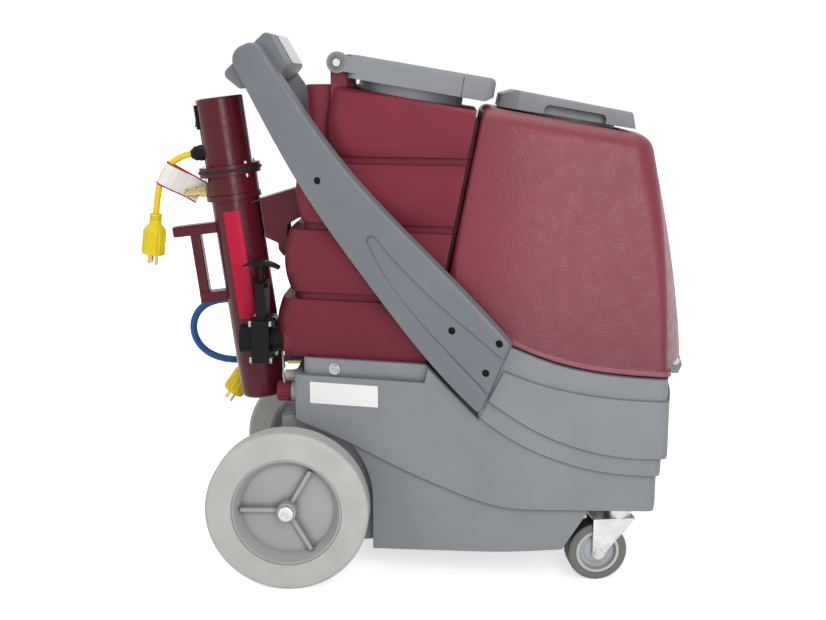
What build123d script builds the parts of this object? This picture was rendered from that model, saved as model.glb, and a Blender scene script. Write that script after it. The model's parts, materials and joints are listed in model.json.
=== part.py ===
from build123d import *

import os
from math import cos, radians, sin, tan

# Carpet extractor: a wheeled base with a recovery tank, a tipping solution tank, handle arms and an
# inline heater. Millimetres, +Z up. Sizes are in the machine's own frame: X = 0 on the rear axle, +X to the
# front, Y = 0 on the mid-plane, Z = 0 on the floor. Every piece is moved by ORIGIN_X when it is written.

# Clearances
RUN_FIT = 0.06        # radial, a shaft in its bearing
SEAT_GAP = 0.25       # beside a seated piece
MOVE_GAP = 0.4        # beside a piece that moves
BOLT_GAP = 0.1        # radial, a bolt in its hole

# Rear wheels and axle
WHEEL_R = 127.0
WHEEL_WIDTH = 44.0
WHEEL_INSET = 5.0     # the wheel's middle inside the base's half width
TYRE_INNER_R = 86.0
TYRE_SHOULDER = 7.0
RIM_LIP = 4.0
RIM_SLOPE = 10.0     # of the dish's side, in radius
RIM_WEB = 6.0
RIM_DISH = 22.0
HUB_R = 15.0
SPOKE_WIDTH = 6.0
SPOKE_COUNT = 3
AXLE_R = 8.0
CAP_R = 12.5
CAP_THICK = 7.0

# Casters
CASTER_R = 47.5
CASTER_WIDTH = 36.0
CASTER_HUB_R = 35.0
CASTER_X = 517.5
CASTER_INSET = 60.0   # the kingpin inside the base's half width
CASTER_TURN = 8.0     # the casters stand turned by this much
CASTER_TRAIL = 34.0
CASTER_PLATE = 3.0
CASTER_PLATE_LENGTH = 84.0
CASTER_PLATE_WIDTH = 64.0
FORK_THICK = 3.0
RACE_R = 22.0
KINGPIN_R = 6.0
CASTER_BOLT_R = 5.0
HUB_RIM = 5.0
HUB_BOSS_R = 11.0
LEG_END_R = 10.0
CROWN_GAP = 9.0       # the fork's crown above the wheel

# Base tub, plan view
TAPER_X = 340.0       # the sides run in towards the rear from here
TAPER_DEG = 12.0
TAPER_R = 500.0
BASE_HALF = 200.0
BAND_STEP = 5.0       # the front panel stands proud in two steps
PANEL_STEP = 10.0
SKIRT_INSET = 7.0
BASE_REAR_X = 4.5
BASE_FRONT_X = 563.0
BAND_FRONT_STEP = 6.0
PANEL_FRONT_STEP = 15.0
FRONT_BULGE = 26.0
FRONT_CORNER_R = 12.0
REAR_CORNER_R = 14.0
BASE_WALL = 7.0

# Base tub, side view
BASE_TOP = 324.0
LIP_INSET = 9.0       # beside the tub
LIP_REAR = 14.0       # behind it
TANK_FLOOR = 350.5
LOWER_EDGE = [(BASE_REAR_X, 251), (78, 225), (173, 184), (237, 160), (300, 140), (383, 131)]
BAND_EDGE = [(292, 281), (324, 257), (368, 232), (412, 214), (456, 200.5), (500, 193), (560, 189)]
PANEL_EDGE = [(299, 311), (345, 281), (389, 256), (433, 238), (481, 225), (560, 218)]
RIM_LINE = [(290, 367), (335, 350), (370, 337), (409, 326), (495, 311.5), (577, 307), (650, 304)]
RIM_STEP = 3.0        # the panel is set back above its rim line
SKIRT_REAR_X = -20.0
SKIRT_REAR_TOP = 250.0
SKIRT_BOTTOM_REAR = (24.0, 35.0)
SKIRT_BOTTOM_FRONT = (426.0, 64.0)
SKIRT_NOSE_X = 468.0
WELL_R = 129.0
WELL_DEPTH = 65.0     # behind the wheel

# Seam between the tanks, and the edge where the solution tank meets the base
SEAM_FOOT = (236.0, 425.0)
SEAM_HEAD = (298.0, 742.0)
SEAM_GAP = 8.0
RIM_GAP = 3.0
RIM_EDGE = [(236, 425), (340, 391), (410, 365), (491, 349), (571, 343), (650, 338)]
TANK_INSET = 2.0      # the tanks' half widths inside the base's
RECOVERY_INSET = 8.0
DRAFT_DEG = 4.0

# Solution tank (front dome)
DOME_TOP_DEG = 10.0
# Height, front corner, bow of the front and corner radius of its plan outlines
DOME_SECTIONS = [(320, 574, 53, 13), (440, 571.5, 43, 16), (560, 562.5, 30, 24), (680, 546, 16.5, 36),
                 (790, 526, 4, 46)]
DOME_EDGE_R = 32.0
DOME_SEAM_R = 14.0
BEAD_PROUD = 3.0
BEAD_HEIGHT = 8.0
BEAD_FROM = 344.0
NOSE_BOTTOM = 355.0   # ahead of the base
DOME_WALL = 8.0
DOME_ROOF = 17.0

# Recovery tank (rear, four bulged bands)
RECOVERY_TOP_DEG = 9.6
RECOVERY_TOP_X = 63.0
RECOVERY_TOP_Z = 773.4
BANDS = [(TANK_FLOOR, 441, -27), (453, 550, -14), (562, 653, 5)]
TOP_BAND_Z = 665.0
TOP_BAND_X = 56.0
TOWER_X = 24.0
TOWER_HALF = 74.0
BAND_BULGE = 9.0
GROOVE_DEPTH = 15.0
TANK_CORNER_R = 40.0
TANK_EDGE_R = 16.0
TANK_TOP_R = 12.0
SPINE_HALF = 120.0
SPINE_GAP = 1.2
TANK_WALL = 6.0
SUMP_R = 33.0
SUMP_INSET = 14.0     # the sump's back inside the lowest band's

# Recovery neck, lid and hinge, measured from the tank's sloping top
NECK_X = 183.0
NECK_R = 84.0
NECK_WALL = 9.0
NECK_TOP = 29.0
LID_REAR = 96.0
LID_FRONT = 129.0
LID_INSET = 86.0
LID_UNDER = 15.0
LID_TOP = 50.6
LID_WALL = 5.0
LID_CORNER_R = 16.0
LID_EDGE_R = 8.0
LID_LINE = 50.0       # groove behind the lid's front
LID_LINE_CUT = 1.2
LID_RELIEF = (12.0, 8.0)   # the front's lower edge, so that the solution tank can tip
HINGE_BACK = 113.4
HINGE_UP = 34.8
HINGE_BARREL_R = 16.0
HINGE_STRAP = (HINGE_UP - 12, HINGE_UP + 12)
HINGE_CLEAR = 17.5    # from the axis to the lid's rear edge between its ears
HINGE_LUG_R = 12.5
HINGE_EAR = 24.0
HINGE_BOLT_R = 5.0
HINGE_HEAD_R = 6.8
HINGE_WASHER_R = 11.5
GASKET = 4.0

# Solution neck and lift-off lid, measured from the dome's sloping top
FILL_X = 436.0
FILL_R = 75.0
FILL_TOP = 24.0
CAP_REAR = 116.0
CAP_FRONT = 94.0
CAP_INSET = 95.0
CAP_UNDER = 2.5
CAP_UNDER_FRONT = 6.0
CAP_TOP = 32.0
CAP_FRONT_TOP = 29.5
CAP_REAR_TOP = 22.0
CAP_BEVEL = 23.0
CAP_SLANT = 9.0
CAP_ROOF = 27.0
CAP_EDGE_R = 4.0
CAP_CORNER = (28.0, 20.0)   # the rear corners, cut back along and across
FINGER_LENGTH = 95.0
FINGER_DEPTH = 13.0
FINGER_TOP = 18.5

# Front hinge of the solution tank
TILT_X = 621.0
TILT_Z = 327.0
TILT_PIN_R = 4.0
TILT_BARREL_R = 9.0
LEAF_HALF = 14.0
EAR_THICK = 9.0
EAR_REACH = 12.0
BRACKET_BOTTOM = 305.0
BRACKET_TOP = 338.5

# Handle arms, on planes that run in towards the rear
ARM_DEG = 17.5
ARM_PROUD = 28.0      # beyond the base's half width
ARM_THICK = 20.0
ARM_EDGE_R = 5.0
ARM_CORNER_R = 10.0
ARM_FOOT_R = 6.0      # the foot's lower corner
ARM_CREASE = [(-59, 805), (293, 322)]
ARM_CREASE_DEG = 5.0
ARM_UPPER_EDGE = [(-50, 841), (-38, 823), (83, 656), (250, 488), (339, 397)]
ARM_LOWER_EDGE = [(294, 286), (207, 372), (127, 470), (14, 625), (-86, 802), (-97, 821)]
ARM_CROWN_R = 22.0
ARM_PANEL_LOWER = [(312, 311), (235, 389), (174, 456), (124, 536)]
ARM_PANEL_TIP = (126, 549)
ARM_PANEL_UPPER = [(137, 547), (205, 476), (268, 423), (345, 362)]
ARM_PANEL_DEPTH = 2.5
ARM_BOLTS = [(46, 630), (252, 412), (323, 398), (303, 351)]
ARM_BOLT_R = 3.0
ARM_BOLT_HEAD_R = 5.5
ARM_BOLT_SINK = 5.0
ARM_BOLT_GRIP = 7.0
ARM_PAD = [(244, 345), (292, 305), (333, 394), (322, 408), (308, 408), (302, 399), (264, 412), (242, 416)]
ARM_PAD_DEPTH = 8.0
ARM_SEAT = [(289, 272), (360, 424), (330, 450), (130, 450), (203, 364)]

# Console between the arms
CONSOLE = [(-31, 856), (-1, 803), (-18, 782), (-78, 766), (-108, 789)]
CONSOLE_R = 9.0
CONSOLE_WALL = 5.0
CONSOLE_SLOT = (22.0, 42.0)
CONSOLE_SLOT_HALF = 30.0
SWITCH_AT = 0.69       # along the operator's face
SWITCH_Y = 30.0

# Rocker switches
ROCKER_LENGTH = 31.0
ROCKER_WIDTH = 16.0
ROCKER_DEPTH = 6.0
ROCKER_TILT = 8.0
BEZEL_RIM = 3.5
BEZEL_PROUD = 3.0
BEZEL_DEPTH = 13.0
PIVOT_R = 1.5
PIVOT = 1.2

# Inline heater, leaning back: along its axis from the foot
HEATER_FOOT_X = -64.0
HEATER_FOOT_Z = 258.0
HEATER_LEAN = 7.25
HEATER_LENGTH = 499.0
HEATER_R = 38.0
HEATER_WALL = 3.0
COLLAR_R = 43.0
COLLAR_FROM = 343.0
FLANGE_FROM = 373.5
FLANGE_R = 50.0
FLANGE_THICK = 6.0
FLANGE_GASKET = 4.0
FLANGE_BOLT_R = 2.0
FLANGE_BOLT_HEAD = 1.4
FLANGE_BOLTS = 4
ELEMENT_R = 5.0
HEATER_SWITCH_AT = 471.0
GLAND_AT = 414.0
COUPLER_AT = 351.0
INLET_AT = 154.2
GRIP_TOP = 291.0
GRIP_BOTTOM = 177.0
GRIP_BAR = 17.0
GRIP_OFFSET = 73.0
GRIP_REACH = 111.0
GRIP_WIDTH = 28.0
GRIP_EDGE_R = 3.0
CRADLE = 3.0
CRADLE_FROM = 40.0
CRADLE_TO = 335.0
BRACKET_HALF = 26.0
SHEET = 3.0
BRACKET_GAP = 3.0     # behind the tank's bands
BRACKET_SIDE = [(-60, 591), (BANDS[2][2] - BRACKET_GAP, 610), (BANDS[2][2] - BRACKET_GAP, 560),
                (BANDS[1][2] - BRACKET_GAP, 548), (BANDS[1][2] - BRACKET_GAP, 503),
                (BANDS[1][2] - 3 * BRACKET_GAP, 497), (-31, 508), (-32, 519), (-52, 528)]
STRAP_R = 45.0
STRAP_REACH = 100.0

# Glands, cords, hose and fittings
GLAND_R = 13.0
GLAND_LENGTH = 21.0
CORD_D = 10.5
HEATER_CORD = [(-174.73, 0, 661.25), (-188.6, 0, 659.5), (-212.3, 0, 644.7), (-227.6, 0, 621.2),
               (-234.7, 0, 587.9), (-237.7, 0, 563.1)]
MACHINE_CORD = [(-2.5, 64, 337.5), (-33, 64, 337.5), (-59, 64, 330.5), (-79.5, 64, 316.5), (-92, 64, 299)]
PLUG_R = 19.0
PLUG_NECK_R = 10.0
PLUG_NECK = 16.0
PLUG_LENGTH = 68.0
PLUG_FLUTES = 10
BLADE = 15.0
BLADE_THICK = 2.0
BLADE_WIDTH = 7.0
BLADE_PITCH = 12.7
HOSE_D = 12.5
HOSE = [(-98, 52, 411), (-124, 52, 411), (-155, 55, 408), (-183, 61, 394), (-199, 69, 367), (-199, 77, 337),
        (-184, 84, 311), (-157, 90, 296), (-126, 94, 292), (-95, 96, 293), (-65, 96, 295), (-38, 95, 295)]
FITTING_R = 9.0

# Dump gate valve at the back of the recovery tank
DUMP_Y = -82.0
DUMP_Z = 371.0
DUMP_BODY_X = -64.5
DUMP_BODY_THICK = 28.0
DUMP_HALF = 34.0
DUMP_BOTTOM = 336.5
DUMP_TOP = 407.0
DUMP_SPIGOT_R = 19.5
DUMP_BORE_R = 16.5
DUMP_OUT_X = -86.0
DUMP_OUT_R = 24.5     # hose end
DUMP_OUT_WALL = 3.5
HOUSING_THICK = 15.0
HOUSING_HALF = 25.0
HOUSING_CAP = 31.5     # above the raised gate
DUMP_BOLT_R = 3.0
GATE_THICK = 4.0
GATE_HALF = 20.0
GATE_TRAVEL = 42.0
STEM_R = 4.0
TEE_UP = 27.0
TEE_SPAN = 57.0
TEE_SAG = 7.0
TEE_THICK = 6.0
TEE_WIDTH = 24.0

# Vacuum hose port and drain
PORT_GAP = 15.0       # beside the heater's bracket
PORT_Z = 501.0
PORT_R = 29.0
PORT_BORE_R = 25.4
PORT_PROUD = 9.0
PORT_INSIDE = 40.0
DRAIN_Y = -60.0
DRAIN_Z = 279.0
DRAIN_R = 12.0
DRAIN_COLLAR = 13.5
DRAIN_LENGTH = 28.5
DRAIN_CAP_R = 17.0
DRAIN_CAP_LENGTH = 23.0
DRAIN_FLUTES = 16
FLUTE_R = 1.6

# Inside the base and the recovery tank
MOTOR_R = 66.0
MOTOR_HEIGHT = 165.0
MOTOR_X = 325.0
PUMP_X = 320.0
INSIDE_GAP = 7.5      # beside the motor and the pump
PUMP_SIZE = (150.0, 84.0, 96.0)
STANDPIPE_AT = (185.0, 58.0)
STANDPIPE_R = 24.0
STANDPIPE_TOP = 690.0
FLOAT_CAGE_R = 30.0
FLOAT_CAGE = 40.0
CAGE_SLOT = 14.0

# Pan screws of the recovery tank
SCREW_X = 69.5
SCREW_DROP = 2.0
SCREW_R = 6.5
SCREW_WASHER_R = 9.5
SCREW_SLOT = 1.4

# Values that follow from the sizes above
TAPER = tan(radians(TAPER_DEG))
DRAFT = tan(radians(DRAFT_DEG))
ARM_SLOPE = tan(radians(ARM_DEG))
CASTER_TOP = LOWER_EDGE[-1][1]
TRACK = 2 * (BASE_HALF - WHEEL_INSET)
WHEEL_OUT = (TRACK + WHEEL_WIDTH) / 2
WELL_HALF = (TRACK - WHEEL_WIDTH) / 2 - WELL_DEPTH
CASTER_Y = BASE_HALF - CASTER_INSET
TANK_HALF = BASE_HALF - TANK_INSET
RECOVERY_HALF = BASE_HALF - RECOVERY_INSET
LID_HALF = BASE_HALF - LID_INSET
CAP_HALF = BASE_HALF - CAP_INSET
ARM_HALF = BASE_HALF + ARM_PROUD
PORT_Y = BRACKET_HALF + PORT_R + PORT_GAP
HOUSING_TOP = DUMP_Z + GATE_HALF + GATE_TRAVEL + HOUSING_CAP
TEE_Z = HOUSING_TOP + TEE_UP
DOME_NOSE_X = DOME_SECTIONS[0][1] + DOME_SECTIONS[0][2]
GRIP_CREST = GRIP_TOP + GRIP_BAR / 2 - GRIP_EDGE_R
REACH_REAR = HEATER_FOOT_X - GRIP_CREST * sin(radians(HEATER_LEAN)) - GRIP_REACH * cos(radians(HEATER_LEAN))
REACH_FRONT = TILT_X + EAR_REACH
ORIGIN_X = (REACH_FRONT + REACH_REAR) / 2
BIG = 900.0


def side_face(*edges):
    """Face in side view from edges or outlines drawn as (x, z)."""
    return Plane.XZ * make_face([edge for item in edges for edge in item.edges()])


def side_outline(points):
    """Face in side view from a closed list of (x, z) corners."""
    return Plane.XZ * make_face(Polyline(*points, close=True))


def slab(face, half, middle=0.0):
    """Face in side view, made as wide as 2 * half about Y = middle."""
    return Pos(0, middle, 0) * extrude(face, amount=half, both=True)


def block(x, y, z):
    """Box from (low, high) pairs."""
    centre = Pos((x[0] + x[1]) / 2, (y[0] + y[1]) / 2, (z[0] + z[1]) / 2)
    return centre * Box(x[1] - x[0], y[1] - y[0], z[1] - z[0])


def rod(start, end, radius):
    """Cylinder from one point to another."""
    run = Vector(*end) - Vector(*start)
    plane = Plane(origin=start, z_dir=run)
    return plane * Cylinder(radius, run.length, align=(Align.CENTER, Align.CENTER, Align.MIN))


def disc(radius, low, high):
    """Cylinder about local Z from one height to another."""
    return Pos(0, 0, low) * Cylinder(radius, high - low, align=(Align.CENTER, Align.CENTER, Align.MIN))


def ring(outer, inner, low, high):
    """Tube about local Z."""
    return disc(outer, low, high) - disc(inner, low, high)


def spin(points):
    """Solid turned about local Z from (radius, height) corners."""
    return revolve(Plane.XZ * make_face(Polyline(*points, close=True)), Axis.Z)


def round_edges(piece):
    """Circular edges, smallest first."""
    return piece.edges().filter_by(GeomType.CIRCLE).sort_by(SortBy.RADIUS)


def both_sides(piece):
    """A piece and its mirror image in the mid-plane."""
    return [piece, mirror(piece, about=Plane.XZ)]


def group(pieces):
    """Separate solids in one node."""
    return Compound(children=[solid for piece in pieces for solid in piece.solids()])


# Plan and side outlines of the base and the tanks


def half_width(x, half):
    return half - TAPER * max(0.0, TAPER_X - x)


def plan(half, rear_x, front_x, nose, rear_r, front_r):
    """Plan outline: tapered sides, a straight rear and a bowed front."""
    rear_half = half_width(rear_x, half)
    sides = Polyline((front_x, -half), (TAPER_X, -half), (rear_x, -rear_half),
                     (rear_x, rear_half), (TAPER_X, half), (front_x, half))
    front = ThreePointArc((front_x, half), (front_x + nose, 0), (front_x, -half))
    face = make_face(sides.edges() + front.edges())
    face = fillet(face.vertices().sort_by(Axis.X)[:2], rear_r)
    face = fillet(face.vertices().sort_by(Axis.X)[-2:], front_r)
    return fillet([corner for corner in face.vertices() if abs(corner.X - TAPER_X) < 1], TAPER_R)


def rear_plan(half, rear_x, front_x, rear_r):
    """Plan outline behind the taper line: tapered sides with straight ends."""
    rear_half, front_half = half_width(rear_x, half), half_width(front_x, half)
    corners = [(rear_x, -rear_half), (front_x, -front_half), (front_x, front_half), (rear_x, rear_half)]
    face = make_face(Polyline(*corners, close=True))
    return fillet(face.vertices().sort_by(Axis.X)[:2], rear_r)


def seam_x(z, gap=0.0):
    """Seam line in side view, moved back by a gap."""
    lean = (SEAM_HEAD[0] - SEAM_FOOT[0]) / (SEAM_HEAD[1] - SEAM_FOOT[1])
    return SEAM_FOOT[0] + lean * (z - SEAM_FOOT[1]) - gap


def dome_top(x):
    return SEAM_HEAD[1] - tan(radians(DOME_TOP_DEG)) * (x - SEAM_HEAD[0])


def recovery_top(x):
    return RECOVERY_TOP_Z - tan(radians(RECOVERY_TOP_DEG)) * (x - RECOVERY_TOP_X)


def rim_edge(drop):
    return Spline(*[(x, z - drop) for x, z in RIM_EDGE])


def top_plane(x, height, slope_deg):
    """Plane on a sloping tank top, local Z square to the top, local X to the front."""
    slope = radians(slope_deg)
    return Plane(origin=(x, 0, height), x_dir=(cos(slope), 0, -sin(slope)), z_dir=(sin(slope), 0, cos(slope)))


RECOVERY_PLANE = top_plane(NECK_X, recovery_top(NECK_X), RECOVERY_TOP_DEG)
FILL_PLANE = top_plane(FILL_X, dome_top(FILL_X), DOME_TOP_DEG)


# Base


def base_level(half, front_x, lower_points, rear_x):
    """Part of the tub above one of its lower edges, cut to that level's plan."""
    lower = Spline(*lower_points, tangents=[(1, -0.35), (1, 0)])
    first, last = lower_points[0], lower_points[-1]
    riser = seam_x(BASE_TOP, SEAM_GAP) + RIM_GAP
    rim = rim_edge(RIM_GAP)
    rim_start, rim_end = rim @ 0, rim @ 1
    top = Polyline((last[0], last[1]), (rim_end.X, last[1]), (rim_end.X, rim_end.Y))
    rear = Polyline((rim_start.X, rim_start.Y), (riser, BASE_TOP), (first[0], BASE_TOP), first)
    outline = side_face(lower, top, rim, rear)
    footprint = plan(half, rear_x, front_x, FRONT_BULGE, REAR_CORNER_R, FRONT_CORNER_R)
    return slab(outline, BIG / 2) & extrude(footprint, BIG)


def front_level(half, front_x, lower_points):
    """Raised front panel of the tub, ahead of the handle arm's foot."""
    lower = Spline(*lower_points)
    first, last = lower_points[0], lower_points[-1]
    arm_low, arm_high = ARM_LOWER_EDGE[0], ARM_UPPER_EDGE[-1]
    lean = (arm_high[0] - arm_low[0]) / (arm_high[1] - arm_low[1])
    front = RIM_EDGE[-1][0]
    over = SEAM_FOOT[1] + 20
    cut = Polyline(first, (first[0] + lean * (over - first[1]), over), (front, over), (front, last[1]), last)
    outline = side_face(lower, cut)
    footprint = plan(half, BASE_REAR_X, front_x, FRONT_BULGE, REAR_CORNER_R, FRONT_CORNER_R)
    panel = slab(outline, BIG / 2) & extrude(footprint, BIG)
    return panel & under_line([(x, z - RIM_GAP) for x, z in RIM_EDGE])


def under_line(points):
    """Everything below a line in side view."""
    first, last = points[0], points[-1]
    return slab(side_face(Spline(*points), Polyline(last, (last[0], 0), (first[0], 0), first)), BIG / 2)


def skirt():
    """Narrower lower part of the tub, with the wheel wells cut out of it."""
    lower = Spline(*LOWER_EDGE, tangents=[(1, -0.35), (1, 0)])
    rest = Polyline(LOWER_EDGE[-1], (SKIRT_NOSE_X, CASTER_TOP), SKIRT_BOTTOM_FRONT, SKIRT_BOTTOM_REAR,
                    (SKIRT_REAR_X, WHEEL_R), (SKIRT_REAR_X, SKIRT_REAR_TOP), LOWER_EDGE[0])
    half = BASE_HALF - SKIRT_INSET
    footprint = plan(half, SKIRT_REAR_X, BASE_FRONT_X, FRONT_BULGE, REAR_CORNER_R, FRONT_CORNER_R)
    body = slab(side_face(lower, rest), BIG / 2) & extrude(footprint, BIG)
    for side in (-1, 1):
        body -= rod((0, side * WELL_HALF, WHEEL_R), (0, side * BIG, WHEEL_R), WELL_R)
        body -= block((-BIG, WELL_R), sorted((side * WELL_HALF, side * BIG)), (0, WHEEL_R))
    return body


def lip_back():
    """Back of the lip that the recovery tank stands on."""
    return BASE_REAR_X + LIP_REAR


def bay_half():
    """Half the width of the bay between the wheel wells and the casters."""
    return half_width(WELL_R, BASE_HALF) - SKIRT_INSET - BASE_WALL


def base_hollow():
    """Space inside the tub: the bay under the solution tank and the room under the recovery tank."""
    floor = SKIRT_BOTTOM_FRONT[1] + BASE_WALL
    shoulder = CASTER_TOP + 4 * BASE_WALL
    inner = BASE_HALF - 2 * BASE_WALL
    bay_rear = seam_x(BASE_TOP) + 2 * BASE_WALL
    low_half = bay_half()
    low_ends = (WELL_R + BASE_WALL, SKIRT_BOTTOM_FRONT[0] - 2 * BASE_WALL)
    low = block(low_ends, (-low_half, low_half), (floor, BASE_TOP))
    bay = plan(inner, bay_rear, BASE_FRONT_X - 2 * BASE_WALL, FRONT_BULGE, REAR_CORNER_R, FRONT_CORNER_R)
    room = rear_plan(inner - LIP_INSET, lip_back() + BASE_WALL, bay_rear + BASE_WALL, REAR_CORNER_R)
    bay_low = extrude(Pos(0, 0, shoulder) * bay, BIG)
    room_low = LOWER_EDGE[0][1] + BASE_WALL
    return low + bay_low + extrude(Pos(0, 0, room_low) * room, TANK_FLOOR - BASE_WALL - room_low)


def arm_pads():
    """Flats on the tub's sides that the arms' feet are bolted to."""
    pad = make_face(Polyline(*[arm_local(point) for point in ARM_PAD], close=True))
    solid = arm_plane() * (Pos(0, 0, -ARM_THICK) * extrude(pad, amount=-ARM_PAD_DEPTH))
    return both_sides(solid)


def arm_seats():
    """Room in the tub's sides for the arms' feet."""
    seat = make_face(Polyline(*[arm_local(point) for point in ARM_SEAT], close=True))
    solid = arm_plane() * (Pos(0, 0, -ARM_THICK) * extrude(seat, amount=2 * ARM_THICK))
    return both_sides(solid)


def base_tub():
    tub = base_level(BASE_HALF, BASE_FRONT_X, LOWER_EDGE, BASE_REAR_X)
    tub += front_level(BASE_HALF + BAND_STEP, BASE_FRONT_X + BAND_FRONT_STEP, BAND_EDGE)
    panel_half, panel_front = BASE_HALF + PANEL_STEP, BASE_FRONT_X + PANEL_FRONT_STEP
    tub += front_level(panel_half - RIM_STEP, panel_front - RIM_STEP, PANEL_EDGE)
    tub += front_level(panel_half, panel_front, PANEL_EDGE) & under_line(RIM_LINE)
    lip_face = rear_plan(BASE_HALF - LIP_INSET, lip_back(), seam_x(TANK_FLOOR), REAR_CORNER_R)
    tub += extrude(Pos(0, 0, BASE_TOP - BASE_WALL) * lip_face, TANK_FLOOR - BASE_TOP + BASE_WALL)
    tub += skirt()
    tub -= base_hollow()
    for seat, pad in zip(arm_seats(), arm_pads()):
        tub -= seat
        tub += pad
    tub -= rod((0, -BIG, WHEEL_R), (0, BIG, WHEEL_R), AXLE_R + BOLT_GAP)
    for hole in arm_bolt_holes():
        tub -= hole
    return tub


def rear_axle():
    reach = WHEEL_OUT + MOVE_GAP
    return rod((0, -reach, WHEEL_R), (0, reach, WHEEL_R), AXLE_R)


def axle_caps():
    inside = WHEEL_OUT + MOVE_GAP
    cap = rod((0, -inside, WHEEL_R), (0, -inside - CAP_THICK, WHEEL_R), CAP_R)
    cap = fillet(cap.edges().group_by(Axis.Y)[0], CAP_THICK / 2)
    crown = inside + CAP_THICK
    cap -= rod((0, -crown - 1, WHEEL_R), (0, -crown + 1.5, WHEEL_R), CAP_R / 2)
    cap += rod((0, -crown + 0.5, WHEEL_R), (0, -crown + 2, WHEEL_R), CAP_R / 4)
    return group(both_sides(cap))


# Rear wheels, modelled about local Z with the outer face up


def wheel_place(side):
    return Plane(origin=(0, side * TRACK / 2, WHEEL_R), x_dir=(1, 0, 0), z_dir=(0, side, 0))


def rear_tyre(side):
    half = WHEEL_WIDTH / 2
    tyre = ring(WHEEL_R, TYRE_INNER_R, -half, half)
    tyre = fillet(round_edges(tyre)[-2:], TYRE_SHOULDER)
    return wheel_place(side) * tyre


def rear_rim(side):
    half = WHEEL_WIDTH / 2
    outer = TYRE_INNER_R - SEAT_GAP
    edge, web_top = half - 2, half - RIM_DISH
    lip_r = outer - RIM_LIP
    web_r = lip_r - RIM_SLOPE
    rim = spin([(0, web_top), (web_r, web_top), (lip_r, edge), (outer, edge), (outer, -edge), (lip_r, -edge),
                (web_r, web_top - RIM_WEB), (0, web_top - RIM_WEB)])
    rim += disc(HUB_R, -half, half)
    for index in range(SPOKE_COUNT):
        spoke = block((0, web_r + 2), (-SPOKE_WIDTH / 2, SPOKE_WIDTH / 2),
                      (web_top - 1, web_top + RIM_DISH / 2))
        rim += Rot(0, 0, 180 + index * 360 / SPOKE_COUNT) * spoke
    rim -= disc(AXLE_R + RUN_FIT, -WHEEL_WIDTH, WHEEL_WIDTH)
    return wheel_place(side) * rim


# Casters, right side first; the fork trails towards the rear


def caster_plates():
    low = CASTER_TOP - CASTER_PLATE
    length, width = CASTER_PLATE_LENGTH / 2, CASTER_PLATE_WIDTH / 2
    plate = block((-length, length), (-width, width), (low, CASTER_TOP))
    plate = fillet(plate.edges().filter_by(Axis.Z), 8) + disc(RACE_R - 2, low - 4, low)
    crown = caster_crown()
    plate += disc(KINGPIN_R, crown - FORK_THICK - MOVE_GAP, low)
    plate += disc(KINGPIN_R + 4, crown - FORK_THICK - MOVE_GAP - 4, crown - FORK_THICK - MOVE_GAP)
    return group(both_sides(Pos(CASTER_X, -CASTER_Y, 0) * plate))


def caster_crown():
    """Top of the fork's crown plate."""
    return 2 * CASTER_R + CROWN_GAP


def fork_inner():
    return CASTER_WIDTH / 2 + 2.5


def caster_place(side):
    """Kingpin of a caster, turned as the caster stands."""
    return Pos(CASTER_X, side * CASTER_Y, 0) * Rot(0, 0, CASTER_TURN)


def caster_wheel_place(side):
    axle = Plane(origin=(-CASTER_TRAIL, 0, CASTER_R), x_dir=(1, 0, 0), z_dir=(0, side, 0))
    return caster_place(side) * axle.location


def caster_fork(side):
    """Fork with its axle bolt as a solid of its own."""
    crown = caster_crown()
    half = fork_inner() + FORK_THICK
    rear, front = -CASTER_TRAIL - LEG_END_R, RACE_R + 1
    plate = block((rear, front), (-half, half), (crown - FORK_THICK, crown))
    leg = slab(side_outline([(rear, crown), (front, crown), (-CASTER_TRAIL + LEG_END_R, CASTER_R),
                             (rear, CASTER_R)]), FORK_THICK / 2)
    skin = FORK_THICK / 2
    leg += rod((-CASTER_TRAIL, -skin, CASTER_R), (-CASTER_TRAIL, skin, CASTER_R), LEG_END_R)
    fork = plate
    for place in (-1, 1):
        fork += Pos(0, place * (fork_inner() + FORK_THICK / 2), 0) * leg
    race_top = CASTER_TOP - CASTER_PLATE - 4 - MOVE_GAP
    fork += disc(RACE_R, crown, race_top)
    fork -= disc(KINGPIN_R + RUN_FIT, 0, BIG)
    fork -= rod((-CASTER_TRAIL, -BIG, CASTER_R), (-CASTER_TRAIL, BIG, CASTER_R), CASTER_BOLT_R + BOLT_GAP)
    return group([caster_place(side) * fork, caster_place(side) * caster_bolt()])


def caster_bolt():
    reach = fork_inner() + FORK_THICK
    bolt = rod((0, -reach - 4, 0), (0, reach + 4, 0), CASTER_BOLT_R)
    for place in (-1, 1):
        head = RegularPolygon(CASTER_BOLT_R + 3, 6)
        head = extrude(Plane(origin=(0, place * reach, 0), z_dir=(0, place, 0)) * head, 4.5)
        bolt += head
    return Pos(-CASTER_TRAIL, 0, CASTER_R) * bolt


def caster_tyre(side):
    half = CASTER_WIDTH / 2
    tyre = ring(CASTER_R, CASTER_HUB_R, -half, half)
    tyre = fillet(round_edges(tyre)[-2:], 6)
    return caster_wheel_place(side) * tyre


def caster_hub(side):
    """Hub with a stepped dish in each face."""
    half = CASTER_WIDTH / 2
    outer = CASTER_HUB_R - SEAT_GAP
    edge = outer - HUB_RIM
    face = [(0, half + 2), (HUB_BOSS_R, half + 2), (HUB_BOSS_R, half - 3), (2 * HUB_BOSS_R, half / 2),
            (edge, half / 2), (edge, half - 1), (outer, half - 1)]
    hub = spin(face + [(radius, -height) for radius, height in reversed(face)])
    hub -= disc(CASTER_BOLT_R + RUN_FIT, -BIG, BIG)
    return caster_wheel_place(side) * hub


# Recovery tank


def tank_section(z, rear_x, inset, corner_r):
    """Plan outline of the recovery tank at a height, drawn in by an inset."""
    half = RECOVERY_HALF - DRAFT * (z - TANK_FLOOR) - inset
    return Pos(0, 0, z) * rear_plan(half, rear_x + inset, SEAM_HEAD[0] + 60, corner_r)


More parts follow.
